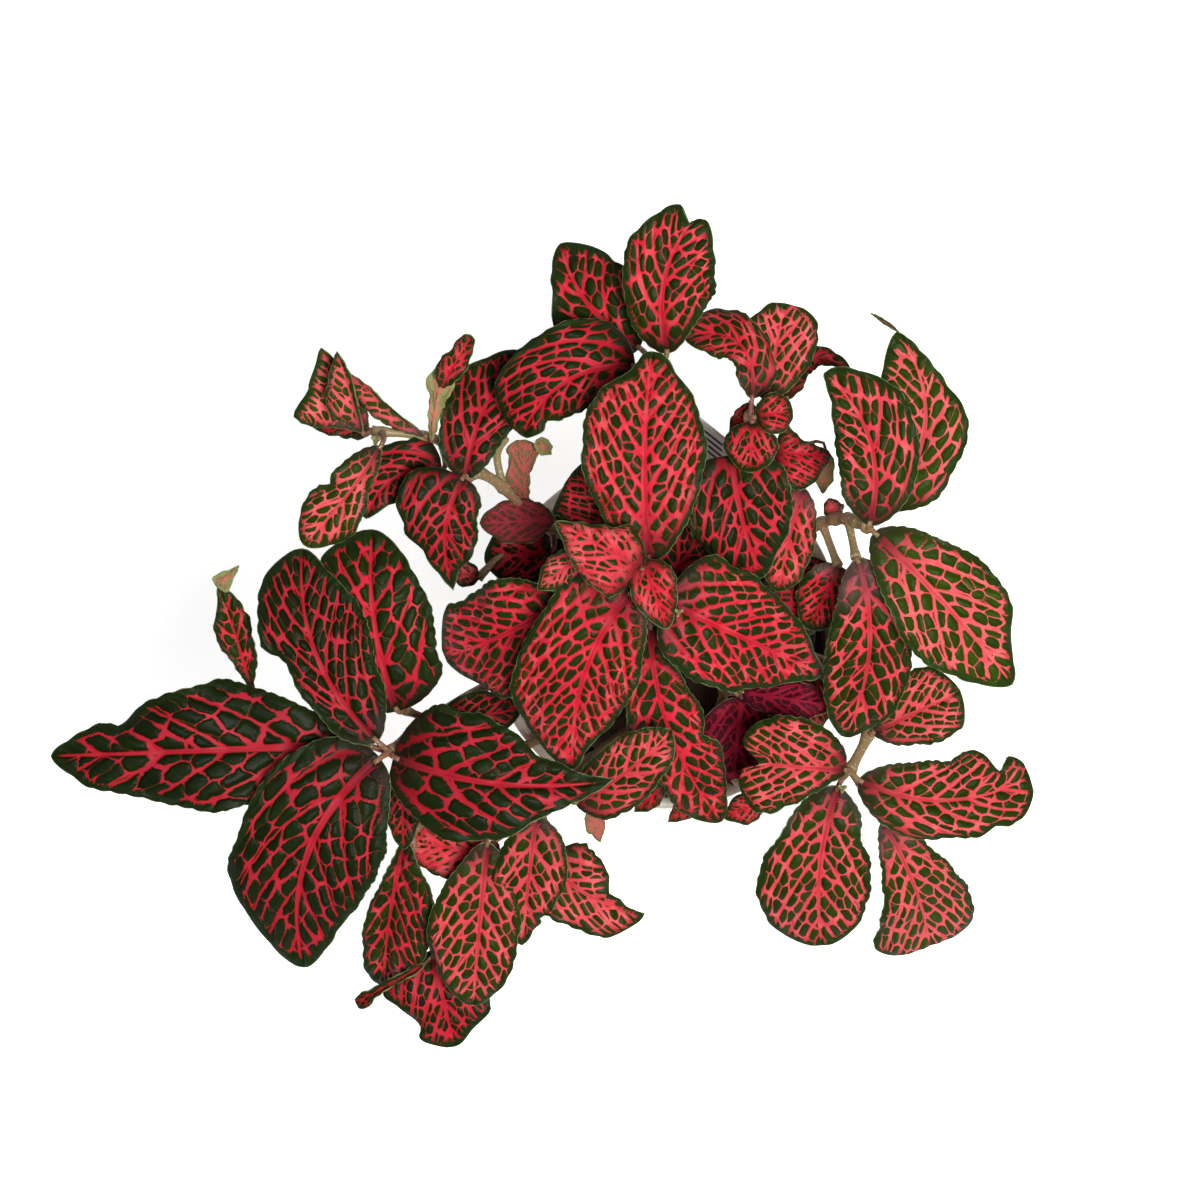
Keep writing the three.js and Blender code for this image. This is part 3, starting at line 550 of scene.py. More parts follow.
shoots["frontLeft"] = dict(root=(-20, -26), look=(0.12, 0.8, 0), stems=[
    [(500, 760, 125), (425, 820, 138), (402, 834, 143)],
], leaves=[
    leaf((405, 838, 144), (384, 985, 106), 22, arch=5, bend=-1, fold=40, cup=-50, look=(0.35, 0.42, 0),
         edges=((5.5, 14, 15, 14.5, 7), (2.5, 5.5, 8.5, 9, 6.5))),
    leaf((432, 950, 118), (455, 1047, 110), 28, arch=3,
         edges=((9, 14, 15, 15, 6), (9, 19.5, 15, 10, 9.5))),
    leaf((425, 964, 121), (356, 1003, 117), 6, arch=2, fold=50, tipFullness=0.35,
         edges=((1.5, 1.5, 1.5, 2, 4), (2, 2, 2.5, 2.5, 3))),
    leaf((495, 852, 138), (405, 842, 136), 22, arch=3, look=(0.5, 1.5, 0.2)),
    leaf((512, 764, 120), (498, 826, 109), 16, arch=4),
])
shoots["front"] = dict(root=(-8, -30), look=(0.6, 1, 0.1), stems=[
    [(590, 760, 130), (540, 812, 152), (495, 836, 151)],
    [(590, 760, 130), (572, 797, 155)],
    [(540, 812, 152), (562, 862, 141)],
], leaves=[
    leaf((487, 842, 151), (473, 1006, 122), 31, arch=5,
         edges=((7, 12, 14, 12.5, 8), (7, 14, 17.5, 16, 9.5))),
    leaf((536, 815, 155), (522, 946, 132), 24, arch=5,
         edges=((8, 12.5, 12.5, 9, 3), (6, 10.5, 12.5, 11.5, 5.5)), lobes=((0.76, 1, -2, 0.03),)),
    leaf((545, 858, 141), (645, 914, 136), 25, arch=4, bend=-3.5,
         edges=((9, 13, 13, 13, 12.5, 10, 3.5, 3, 1, 0.5), (7, 12, 14.5, 14, 13, 12.5, 12, 11, 8, 4))),
    leaf((574, 803, 160), (671, 730, 182), 22, arch=4, bend=-2,
         edges=((6, 10, 11, 9.5, 6), (8.5, 11, 11, 9, 5.5))),
    leaf((590, 806, 148), (600, 842, 140), 7, arch=1, roll=180, tipFullness=0.9, look=(0.6, 1.6, 0.6)),
])
shoots["upperLeft"] = dict(root=(-24, 20), look=(0.08, 0.57, 0), stems=[
    [(570, 540, 135), (535, 520, 152), (503, 487, 174), (480, 474, 182), (463, 480, 185)],
    [(503, 487, 174), (458, 452, 168), (428, 437, 176), (372, 431, 179)],
    [(503, 487, 174), (497, 455, 178), (506, 438, 181)],
    [(535, 520, 152), (478, 578, 150)],
], leaves=[
    leaf((465, 480, 186), (522, 351, 178), 25, arch=5, bend=3.5,
         edges=((7.5, 11.5, 13, 12.5, 5.5), (6, 9.5, 11.5, 11, 6))),
    leaf((463, 477, 188), (453, 591, 172), 25, arch=6, bend=-4, tipFullness=0.8, heelFullness=0.35,
         edges=((8.5, 10, 11, 9, 2.5), (15, 17.5, 13.5, 7, 2))),
    leaf((381, 446, 191), (303, 545, 187), 19, arch=4, bend=1.5, look=(0.8, 0.6, 0.2),
         edges=((2.5, 4.5, 8.5, 9.5, 5.5), (5, 8, 9.5, 10, 6)), lobes=((0.48, -1, -2.5, 0.04),)),
    leaf((442, 470, 177), (366, 519, 177), 20, arch=3, bend=-6,
         edges=((6, 7, 7, 6.5, 3), (10, 10.5, 11, 10, 7))),
    leaf((368, 430, 177), (321, 348, 185), 28, arch=2, look=(0.95, 0.95, 0.5),
         edges=((6, 15, 19, 10, 3.5), (2, 3, 3, 2.5, 1.5))),
    leaf((363, 434, 182), (337, 351, 191), 16, arch=3, look=(0.9, 0.8, 0.3),
         edges=((3, 8, 9, 6, 2.5), (1, 1.5, 2, 2, 1))),
    leaf((370, 433, 175), (310, 424, 172), 8, arch=2, edges=((2.5, 3, 3, 3, 1.5), (3, 4, 4, 3, 2))),
    leaf((427, 437, 179), (341, 370, 184), 12, arch=2, look=(1, 1.1, 0.5),
         edges=((2.5, 5, 6, 5, 2), (0.4, 0.4, 0.7, 1.8, 1.2))),
    leaf((432, 440, 182), (449, 362, 192), 9, arch=2, bend=1, roll=165, look=(0.5, 0.7, 1),
         edges=((1.5, 2, 3, 4.5, 3), (1.5, 2, 3, 5, 3.5))),
    leaf((437, 396, 189), (471, 335, 198), 11, arch=1, tipFullness=0.3, stalk=False, fold=20,
         look=(0.4, 0.8, 0.2), edges=((0.8, 4.5, 5, 3.5, 3), (0.8, 3, 4.5, 4, 3))),
    leaf((528, 513, 158), (525, 440, 172), 9, arch=3, bend=1, roll=180, look=(0.4, 1.4, 0.45),
         tipFullness=0.35, edges=((1, 2, 2.5, 4, 5), (1, 4.5, 6, 5, 5.5))),
    leaf((536, 440, 174), (551, 454, 170), 6, arch=1, roll=170, stalk=False, heelFullness=0.35,
         tipFullness=0.9, look=(0.4, 0, 1)),
    leaf((554, 520, 158), (480, 523, 164), 16, arch=4, roll=175, look=(0.2, 1.2, 0.1)),
    leaf((552, 550, 146), (484, 560, 150), 23, arch=4),
    leaf((480, 577, 151), (450, 571, 152), 9, arch=2, look=(0.7, 0.5, 0)),
], buds=[(376, 440, 186)])
shoots["inner"] = dict(root=(18, -16), look=(0.15, 0.9, 0), stems=[
    [(725, 690, 125), (740, 690, 146)],
    [(740, 690, 146), (768, 600, 160)],
    [(725, 690, 125), (700, 760, 130), (690, 800, 136)],
    [(700, 760, 130), (770, 800, 136)],
], leaves=[
    leaf((742, 696, 146), (732, 784, 132), 26, arch=2, roll=180),
    leaf((742, 692, 150), (832, 706, 158), 14, arch=3, roll=175),
    leaf((768, 592, 162), (818, 630, 154), 19, arch=3),
    leaf((766, 800, 136), (722, 818, 133), 11, arch=2, tipFullness=0.9, look=(0.4, 0.8, 0.2)),
    leaf((700, 796, 137), (668, 822, 132), 8, arch=1, tipFullness=0.9, look=(0.4, 0.8, 0.2)),
    leaf((664, 786, 140), (634, 812, 136), 8, arch=1, tipFullness=0.9, look=(0.2, 0.7, 0.2)),
])


def fullness(form, along):
    widest = form["widest"]
    if along < widest:
        return math.sin(math.pi / 2 * along / widest) ** form["heelFullness"]
    return max(math.cos(math.pi / 2 * (along - widest) / (1 - widest)), 0) ** form["tipFullness"]


def edgeHalf(form, along, edge):  # eases from one half-width in the leaf's own list to the next
    place = min(max(along * len(edge) - 0.5, 0), len(edge) - 1)
    first = math.floor(place)
    steps = (first, min(first + 1, len(edge) - 1))
    near, far = (edge[step] / fullness(form, (step + 0.5) / len(edge)) for step in steps)
    share = place - first
    return near + (far - near) * share * share * (3 - 2 * share)


def halfWidth(form, along, side):
    swell = fullness(form, along)
    half = form["width"] / 2 * swell
    if form["edges"]:
        left, right = (edgeHalf(form, along, edge) for edge in form["edges"])
        half = swell * ((1 + side) * left + (1 - side) * right) / 2
    for place, lobeSide, amount, span in form["lobes"]:
        if lobeSide in (side, 0):
            half += amount * math.exp(-((along - place) / span) ** 2) * min(1, swell * 2)
    spot = Vector((along * form["long"] / blade["outlineLength"], side * 7.7, form["seed"] * 3.1))
    uneven = blade["outline"] * noise.noise(spot) * min(1, form["width"] / blade["outlineWidth"])
    half += uneven * min(1, swell * 1.5)
    return max(half, blade["narrowest"] / 2)


def notchDepth(form, along, acrossMm):  # how far a notch in the tip draws the blade back, as a share
    if not form["notch"]:
        return 0
    place, depth, span = form["notch"]
    return depth / form["long"] * math.exp(-((acrossMm - place) / span) ** 2) * along ** 5


class Midrib:  # an arched run from the heel to the tip
    def __init__(self, form):
        self.base = seen(*form["base"])
        self.tip = seen(*form["tip"])
        self.left = Vector((self.base.y - self.tip.y, self.tip.x - self.base.x, 0)).normalized()
        bow = self.left * form["bend"] + Vector((0, 0, form["arch"]))
        self.control = (self.base + self.tip) / 2 + bow * 2
        self.length = (self.control - self.base).length / 2 + (self.tip - self.control).length / 2
        self.length = (self.length + (self.tip - self.base).length) / 2

    def point(self, along):
        rest = 1 - along
        return self.base * rest * rest + self.control * 2 * rest * along + self.tip * along * along

    def forward(self, along):
        way = (self.control - self.base) * (1 - along) + (self.tip - self.control) * along
        return way.normalized()

    def frame(self, form, along):
        forward = self.forward(along)
        level = (self.left - forward * self.left.dot(forward)).normalized()
        turn = Matrix.Rotation(math.radians(form["roll"]), 3, forward)
        return self.point(along), turn @ level, turn @ forward.cross(level)


def flatMargin(form, length):  # points round the leaf's outline, laid flat, and how far round each is
    steps = max(blade["marginFewest"], round(length * blade["marginSteps"]))
    run = [length * step / steps for step in range(steps + 1)]
    points = []
    for side, order in ((1, run), (-1, list(reversed(run)))):
        for place in order:
            points.append(Vector((place, side * halfWidth(form, place / length, side), 0)))
    tree = kdtree.KDTree(len(points))
    arcs = []
    arc = 0
    for number, point in enumerate(points):
        if number:
            arc += (point - points[number - 1]).length
        arcs.append(arc)
        tree.insert(point, number)
    tree.balance()
    return tree, arcs


leafLayers = ("leafFlat", "leafEdge", "leafLook")


def growLeaf(bm, form, seed, number, look):
    midrib = Midrib(form)
    length, width = midrib.length, form["width"]
    form = dict(form, long=length, seed=seed)
    rows = max(blade["fewest"], round(length / blade["grain"]))
    columns = max(blade["fewest"], 2 * round(width / blade["grain"] / 2))
    layers = {name: bm.verts.layers.float_vector[name] for name in leafLayers}
    grid = bmesh.ops.create_grid(bm, x_segments=rows, y_segments=columns, size=1)["verts"]
    tree, arcs = flatMargin(form, length)
    spacing = length / (blade["fewPairs"] + length / blade["pairLength"]) / form["pairs"]
    lean = math.radians(blade["leanAngle"])
    leanAcross, leanAlong = math.sin(lean), math.cos(lean)
    fold, cup = math.radians(form["fold"]), math.radians(form["cup"])
    broad = min(1, width / blade["ruffleWidth"])
    frames, places, faces = {}, {}, set()
    for vert in grid:
        faces.update(vert.link_faces)
    lefts = {face for face in faces if face.calc_center_median().y > 0}
    for vert in grid:
        even, across = (vert.co.x + 1) / 2, vert.co.y
        side, out = (1 if across > 0 else -1), abs(across)
        eased = even + ((1 - math.cos(math.pi * even)) / 2 - even) * blade["easing"]
        half = halfWidth(form, eased, side)
        along = eased - notchDepth(form, eased, across * half)
        key = round(along, 5)
        if key not in frames:
            frames[key] = midrib.frame(form, along)
        place, level, up = frames[key]
        alongMm, acrossMm = eased * length, half * out
        scallop = math.pi * (alongMm + acrossMm * blade["crenateLean"]) / blade["crenateLength"]
        scallop = abs(math.sin(scallop + seed))
        half *= 1 - blade["crenate"] * (1 - scallop) / max(half, 2) * out ** 6
        reach = half * (math.sin(fold + cup * out) - math.sin(fold)) / cup
        ripple = math.sin(2 * math.pi * form["waves"] * along + seed + side)
        rise = half * (math.cos(fold) - math.cos(fold + cup * out)) / cup
        rise += form["wave"] * out * out * ripple * math.sin(math.pi * along)
        swellAcross = across * width / blade["swellAcross"]
        swell = noise.noise(Vector((alongMm / blade["swellLength"], swellAcross, seed * 5.7)))
        rise += blade["swell"] * swell * min(1, width / blade["swellWidth"]) * math.sin(math.pi * along)
        frill = noise.noise(Vector((alongMm / blade["ruffleLength"], side * 3.1, seed * 2.3)))
        frill = form["ruffle"] * broad * blade["ruffleGain"] * frill
        rise += frill * out ** 3 * math.sin(math.pi * along) ** 0.5
        slope = fold + cup * out
        square = up * math.cos(slope) - level * side * math.sin(slope)

        _, nearest, margin = tree.find(Vector((alongMm, side * acrossMm, 0)))
        swept = form["slant"] * acrossMm + form["sweep"] * acrossMm ** 2 / (width / 2)
        swept *= 1 - math.exp(-(alongMm + 2) / (blade["gather"] * length))
        lane = (alongMm - swept) / spacing
        run = (alongMm * leanAlong + acrossMm * leanAcross) / (spacing * blade["cellLength"])
        off = abs(lane - round(lane)) * spacing * blade["laneDip"]
        inner = min(1, margin / blade["dipMargin"]) * min(1, length / blade["dipLength"])
        relief = -blade["groove"] * math.exp(-(off / blade["grooveWidth"]) ** 2) * inner
        ribDip = math.exp(-(acrossMm / blade["ribGrooveWidth"]) ** 2)
        relief -= blade["ribGroove"] * ribDip * broad
        vert.co = (place + level * side * reach + up * rise + square * relief) * mm
        places[vert] = Vector((lane, run, spacing))
        vert[layers["leafFlat"]] = Vector((alongMm + blade["flatShift"] * number, side * acrossMm, along))
        vert[layers["leafEdge"]] = Vector((margin, arcs[nearest], max(halfWidth(form, form["widest"], 0), 1)))
        vert[layers["leafLook"]] = Vector(look)
    veinPlace = bm.loops.layers.float_vector["veinPlace"]
    for face in faces:
        shift = Vector((blade["seedSpan"] * (2 * number + (face in lefts)), 0, 0))
        for loop in face.loops:
            loop[veinPlace] = places[loop.vert] + shift


def smoothRoute(points, steps=8):
    route = [points[0]]
    for number in range(len(points) - 1):
        before, after = points[max(number - 1, 0)], points[min(number + 2, len(points) - 1)]
        start, end = points[number], points[number + 1]
        route += geometry.interpolate_bezier(
            start, start + (end - before) / 6, end - (after - start) / 6, end, steps + 1)[1:]
    return route


def growTube(bm, route, radii, age):  # a round skin through the route's points
    ring = bmesh.ops.create_circle(bm, cap_ends=True, segments=stemSizes["sides"], radius=1)["verts"]
    edges = list({edge for vert in ring for edge in vert.link_edges})
    turn = (route[1] - route[0]).to_track_quat("Z", "Y")
    placed = Matrix.LocRotScale(route[0] * mm, turn, Vector((radii[0] * mm,) * 3))
    bmesh.ops.transform(bm, matrix=placed, verts=ring)
    shade = bm.verts.layers.float_vector["stemAge"]
    skin = list(ring)
    for number in range(1, len(route)):
        ahead = route[min(number + 1, len(route) - 1)] - route[number - 1]
        turn = (turn @ Vector((0, 0, 1))).rotation_difference(ahead) @ turn
        following = Matrix.LocRotScale(route[number] * mm, turn, Vector((radii[number] * mm,) * 3))
        grown = bmesh.ops.extrude_edge_only(bm, edges=edges)["geom"]
        ring = [part for part in grown if isinstance(part, bmesh.types.BMVert)]
        edges = [part for part in grown if isinstance(part, bmesh.types.BMEdge)]
        bmesh.ops.transform(bm, matrix=following @ placed.inverted(), verts=ring)
        placed = following
        skin += ring
    bmesh.ops.holes_fill(bm, edges=edges, sides=stemSizes["sides"])
    for vert in skin:
        vert[shade] = Vector((age, 0, 0))


hairSizes = dict(each=0.9, length=0.9, width=0.05, lean=0.5)


def growHairs(bm, route, radii, rng):
    for number in range(len(route) - 1):
        step = route[number + 1] - route[number]
        count = round(step.length * hairSizes["each"] * 2 * math.pi * radii[number] / 4)
        for _ in range(count):
            way = step.normalized()
            side = way.orthogonal().normalized()
            side.rotate(Matrix.Rotation(rng.uniform(0, 2 * math.pi), 3, way))
            foot = route[number] + step * rng.random() + side * radii[number] * 0.9
            lean = (side + way * rng.uniform(-1, 1) * hairSizes["lean"]).normalized()
            long = hairSizes["length"] * rng.uniform(0.5, 1.2)
            place = Matrix.LocRotScale((foot + lean * long / 2) * mm, lean.to_track_quat("Z", "Y"), None)
            bmesh.ops.create_cone(bm, segments=3, radius1=hairSizes["width"] * mm, radius2=0,
                                  depth=long * mm, matrix=place, cap_ends=False)


def jointRadii(route, radius, joints):  # a little thicker at each joint
    radii = []
    for point in route:
        near = [math.exp(-((point - joint).length / stemSizes["jointSpan"]) ** 2) for joint in joints]
        radii.append(radius * (1 + stemSizes["joint"] * max(near, default=0)))
    return radii


budSizes = dict(turns=(0.4, 2.5, 4.6), lean=0.5, lift=1.4, scale=(0.75, 0.75, 2.1))


def growBud(bm, place, rng):
    shade = bm.verts.layers.float_vector["stemAge"]
    for angle in budSizes["turns"]:
        aside = budSizes["lean"]
        lean = Vector((math.cos(angle) * aside, math.sin(angle) * aside, 1)).normalized()
        turn = lean.to_track_quat("Z", "Y")
        centre = place + lean * budSizes["lift"]
        scale = Vector(budSizes["scale"]) * rng.uniform(0.85, 1.1)
        shape = Matrix.LocRotScale(centre * mm, turn, scale)
        grown = bmesh.ops.create_uvsphere(bm, u_segments=12, v_segments=8, radius=mm, matrix=shape)
        for vert in grown["verts"]:
            vert[shade] = Vector((1, 0, 0))


def growShoot(name, shoot, number):
    leaves, stems, hairs = bmesh.new(), bmesh.new(), bmesh.new()
    for layer in leafLayers:
        leaves.verts.layers.float_vector.new(layer)
    leaves.loops.layers.float_vector.new("veinPlace")
    stems.verts.layers.float_vector.new("stemAge")
    rng = random.Random(number + 5)
    rootX, rootY = shoot["root"]
    foot = [Vector((rootX, rootY, stemSizes["rootZ"])), Vector((rootX, rootY, stemSizes["soilZ"]))]
    runs = [[seen(*point) for point in stem] for stem in shoot["stems"]]
    runs[0] = foot + runs[0]
    routes = [smoothRoute(run) for run in runs]
    lowest = stemSizes["soilZ"] + stemSizes["clear"]
    reachable = [point for route in routes for point in route if point.z > lowest]
    joints = [run[0] for run in runs[1:]]
    stalks = []
    for order, form in enumerate(shoot["leaves"]):
        look = form["look"] or shoot["look"]
        growLeaf(leaves, form, blade["seedStep"] * order, order + 16 * number, look)
        if not form["stalk"]:
            continue
        midrib = Midrib(form)
        joint = min(reachable, key=lambda point: (point - midrib.base).length)
        joints.append(joint)
        handle = (midrib.base - joint).length / 3
        stalk = geometry.interpolate_bezier(
            joint, joint + (midrib.base - joint) / 3 + Vector((0, 0, handle * 0.2)),
            midrib.base - midrib.forward(0) * handle, midrib.point(0.03), 8)
        # Thinner for a small leaf, and towards the blade
        slim = min(1, 0.45 + form["width"] / 40) * stemSizes["stalk"]
        stalks.append((stalk, [slim * (1.15 - 0.35 * step / 7) for step in range(8)]))
    for order, route in enumerate(routes):
        radii = jointRadii(route, stemSizes["branch"] if order else stemSizes["radius"], joints)
        growTube(stems, route, radii, rng.uniform(0.3, 0.7))
        growHairs(hairs, [point for point in route if point.z > stemSizes["soilZ"]], radii, rng)
    for stalk, radii in stalks:
        growTube(stems, stalk, radii, rng.uniform(0.0, 0.35))
        growHairs(hairs, stalk, radii, rng)
    for bud in shoot.get("buds", []):
        growBud(stems, seen(*bud), rng)
    foliage = piece(name + "Leaves", leaves, [leafTop, leafUnder], ["shoot_" + name])
    skin = foliage.modifiers.new("thickness", "SOLIDIFY")
    skin.thickness = blade["thickness"] * mm
    skin.offset = 0
    skin.material_offset = 1
    piece(name + "Stems", stems, [stemSkin])
    piece(name + "Hairs", hairs, [stemHair])


for number, (name, shoot) in enumerate(shoots.items()):
    growShoot(name, shoot, number)
print("shoots grown:", len(shoots))


# Pots: a plain tapered one in cream glaze, its foot bare, and a thin plastic grow pot inside it

pot = dict(rim=60, foot=45, height=110, wall=4, floor=6, collar=14, flare=1.2, round=1.4, steps=128,
           glaze=paint(236, 229, 212), shade=paint(226, 217, 196), fleck=paint(176, 160, 132),
           bisque=paint(214, 200, 176), glazeEnds=2.2, bareBelow=1.4)
growPot = dict(rim=51.5, foot=37, height=95, wall=1.4, lipDrop=7, lipOut=1.3, taper=0.6, gap=0.3,
               holes=4, holeWidth=9, holeRing=22, steps=96, round=0.4,
               plastic=paint(24, 27, 36), dust=paint(70, 66, 64))


def turned(profile, steps, roundBy, sharp=25):
    bm = bmesh.new()
    verts = [bm.verts.new((radius * mm, 0, z * mm)) for radius, z in profile]
    edges = [bm.edges.new(pair) for pair in zip(verts, verts[1:])]
    bmesh.ops.spin(bm, geom=verts + edges, cent=(0, 0, 0), axis=(0, 0, 1), angle=2 * math.pi,
                   steps=steps, use_merge=True)
    bmesh.ops.remove_doubles(bm, verts=bm.verts, dist=1e-6)
    bmesh.ops.recalc_face_normals(bm, faces=bm.faces)
    corners = [edge for edge in bm.edges if edge.is_manifold and edge.calc_face_angle() > math.radians(sharp)]
    bmesh.ops.bevel(bm, geom=corners, offset=roundBy * mm, segments=4, profile=0.5, material=-1,
                    affect="EDGES")
    return bm


def glazeMaterial():
    material, graph, shader = newMaterial("creamGlaze")
    place = graph.place()
    bare = graph.ease(graph.parts(place)[2], pot["glazeEnds"] * mm, pot["bareBelow"] * mm)
    colour = graph.coats(
        pot["glaze"],
        (graph.ease(graph.clouds(place, 18, 3), 0.35, 0.7), pot["shade"]),
        (graph.ease(graph.clouds(place, 700), 0.7, 0.76, 0, 0.35), pot["fleck"]),
        (bare, pot["bisque"]))
    graph.fill(shader, {"Base Color": colour, "Roughness": bare * 0.5 + 0.24,
                        "Normal": graph.bump(graph.clouds(place, 55, 1), 0.25, 0.4 * mm)})
    return material


def plasticMaterial():
    material, graph, shader = newMaterial("growPotPlastic")
    place = graph.place()
    dust = graph.clouds(place, 90, 4)
    colour = graph.mix(graph.ease(dust, 0.5, 0.75, 0, 0.35), growPot["plastic"], growPot["dust"])
    graph.fill(shader, {"Base Color": colour, "Roughness": dust * 0.25 + 0.3,
                        "Normal": graph.bump(graph.clouds(place, 1400), 0.3, 0.1 * mm)})
    return material


def cutDrains(bm, ringIn, ringOut, ceiling):  # holes through the grow pot's floor
    half = growPot["holeWidth"] / 2 / growPot["holeRing"]
    for hole in range(growPot["holes"]):
        middle = 2 * math.pi * hole / growPot["holes"] + math.pi / 4
        cut = []
        for face in bm.faces:
            centre = face.calc_center_median()
            away = math.hypot(centre.x, centre.y) / mm
            angle = math.atan2(centre.y, centre.x) - middle
            angle = (angle + math.pi) % (2 * math.pi) - math.pi
            if ringIn < away < ringOut and abs(angle) < half and centre.z < (ceiling + 0.1) * mm:
                cut.append(face)
        bmesh.ops.delete(bm, geom=cut, context="FACES")
        loose = [edge for edge in bm.edges if edge.is_boundary]
        bmesh.ops.bridge_loops(bm, edges=loose)


def addPots():
    rim, foot, inner = pot["rim"], pot["foot"], pot["rim"] - pot["wall"]
    shoulder = pot["height"] - pot["collar"]
    outline = [(0, 0), (foot, 0), (rim - pot["flare"], shoulder), (rim, pot["height"]),
               (inner, pot["height"]), (inner - pot["flare"], shoulder),
               (foot - pot["wall"], pot["floor"]), (0, pot["floor"])]
    shell = turned(outline, pot["steps"], pot["round"])
    piece("outerPot", shell, [glazeMaterial()], ["outer_pot"])

    g = growPot
    base = pot["floor"] + g["gap"]
    top = base + g["height"]
    lip, wall = top - g["lipDrop"], g["wall"]
    ringIn, ringOut = g["holeRing"] - g["holeWidth"] / 2, g["holeRing"] + g["holeWidth"] / 2
    outline = [(0, base), (ringIn, base), (ringOut, base), (g["foot"], base),
               (g["rim"] - g["lipOut"] - g["taper"], lip), (g["rim"], lip), (g["rim"], top),
               (g["rim"] - wall - g["taper"], top), (g["rim"] - wall - g["lipOut"], lip),
               (g["foot"] - wall, base + wall), (ringOut, base + wall), (ringIn, base + wall),
               (0, base + wall)]
    shell = turned(outline, g["steps"], g["round"])
    cutDrains(shell, ringIn, ringOut, base + wall)
    piece("growPot", shell, [plasticMaterial()], ["grow_pot"])


addPots()
print("pots turned")


# Soil: dark peat with crumbs and fibres

soilBed = dict(top=90, footIn=1.6, rimIn=1.2, swell=2.4, lump=1.1, crumbs=900, chips=70, steps=72, rings=24,
               peat=paint(38, 28, 22), dry=paint(72, 52, 38), fibre=paint(112, 84, 58), roughness=0.95)


def soilMaterial():
    material, graph, shader = newMaterial("peat")
    place = graph.place()
    fine = graph.clouds(place, 900, 4, 0.7)
    colour = graph.coats(
        soilBed["peat"],
        (graph.ease(graph.clouds(place, 120, 4), 0.35, 0.7), soilBed["dry"]),
        (graph.ease(fine, 0.6, 0.8, 0, 0.6), soilBed["fibre"]))
    graph.fill(shader, {"Base Color": colour, "Normal": graph.bump(fine, 0.9, 0.6 * mm),
                        "Roughness": soilBed["roughness"]})
    return material


def soilTop(x, y, edge):
    out = min(1, math.hypot(x, y) / edge)
    lumps = noise.noise(Vector((x, y, 0)) / 7) + 0.5 * noise.noise(Vector((x, y, 9)) / 2.5)
    return soilBed["top"] + soilBed["swell"] * (1 - out ** 3) + soilBed["lump"] * lumps * (1 - out ** 6)


def addSoil():
    g, top, rings = growPot, soilBed["top"], soilBed["rings"]
    base = pot["floor"] + 2 * g["gap"] + g["wall"]
    foot = g["foot"] - g["wall"] - soilBed["footIn"]
    rim = g["rim"] - g["wall"] - g["lipOut"] - soilBed["rimIn"]
    edge = foot + (rim - foot) * (top - base) / (g["height"] - g["lipDrop"])
    outline = [(0, base), (foot, base), (edge, top - 2)]
    outline += [(edge * step / rings, top) for step in range(rings, -1, -1)]
    bm = turned(outline, soilBed["steps"], 0.5, sharp=60)
    for vert in bm.verts:
        if vert.co.z > (top - 1.9) * mm:
            vert.co.z = soilTop(vert.co.x / mm, vert.co.y / mm, edge) * mm
    material = soilMaterial()
    piece("soilBed", bm, [material], ["soil"])

    rng = random.Random(11)
    crumbs = bmesh.new()
    for number in range(soilBed["crumbs"] + soilBed["chips"]):
        away, angle = (edge - 1.5) * math.sqrt(rng.random()), rng.uniform(0, 2 * math.pi)
        x, y = away * math.cos(angle), away * math.sin(angle)
        big = rng.uniform(0.35, 1.0)
        stretch = Vector((1, rng.uniform(0.5, 1), rng.uniform(0.5, 0.9))) * big
        if number >= soilBed["crumbs"]:
            stretch = Vector((rng.uniform(2.5, 5), 0.22, 0.22))
        spun = Matrix.Rotation(rng.uniform(0, 2 * math.pi), 3, "Z")
        turn = spun @ Matrix.Rotation(rng.uniform(-0.4, 0.4), 3, "Y")
        place = Matrix.LocRotScale(Vector((x, y, soilTop(x, y, edge))) * mm, turn.to_quaternion(), stretch)
        bmesh.ops.create_icosphere(crumbs, subdivisions=1, radius=mm, matrix=place)
    piece("soilCrumbs", crumbs, [material], smooth=False)


addSoil()
print("soil laid")


# Plant tag: a white plastic strip with a few plain dark bars near its head

tag = dict(width=17, thickness=0.9, head=(712, 428, 152), foot=(698, 545, 92), turn=-49, sunk=18, corner=2.2,
           barStep=3.2, barShare=0.42, barHalf=5.6, barsEnd=15.5,
           plastic=paint(240, 236, 230), stain=paint(214, 204, 188), bar=paint(44, 42, 44))


def tagMaterial():
    material, graph, shader = newMaterial("tagPlastic")
    across, down, _ = graph.parts(graph.add("ShaderNodeUVMap", uv_map="tagFace")[0])
    bars = graph.maths("LESS_THAN", graph.maths("FRACT", down / tag["barStep"]), tag["barShare"])
    bars = bars * graph.maths("LESS_THAN", abs(across), tag["barHalf"])
    bars = bars * graph.maths("GREATER_THAN", down, tag["barStep"])
    bars = bars * graph.maths("LESS_THAN", down, tag["barsEnd"])
    stain = graph.clouds(graph.place(), 80, 3)
    colour = graph.coats(
        tag["plastic"],
        (graph.ease(stain, 0.5, 0.8, 0, 0.4), tag["stain"]),
        (bars, tag["bar"]))
    graph.fill(shader, {"Base Color": colour, "Roughness": stain * 0.2 + 0.35})
    return material


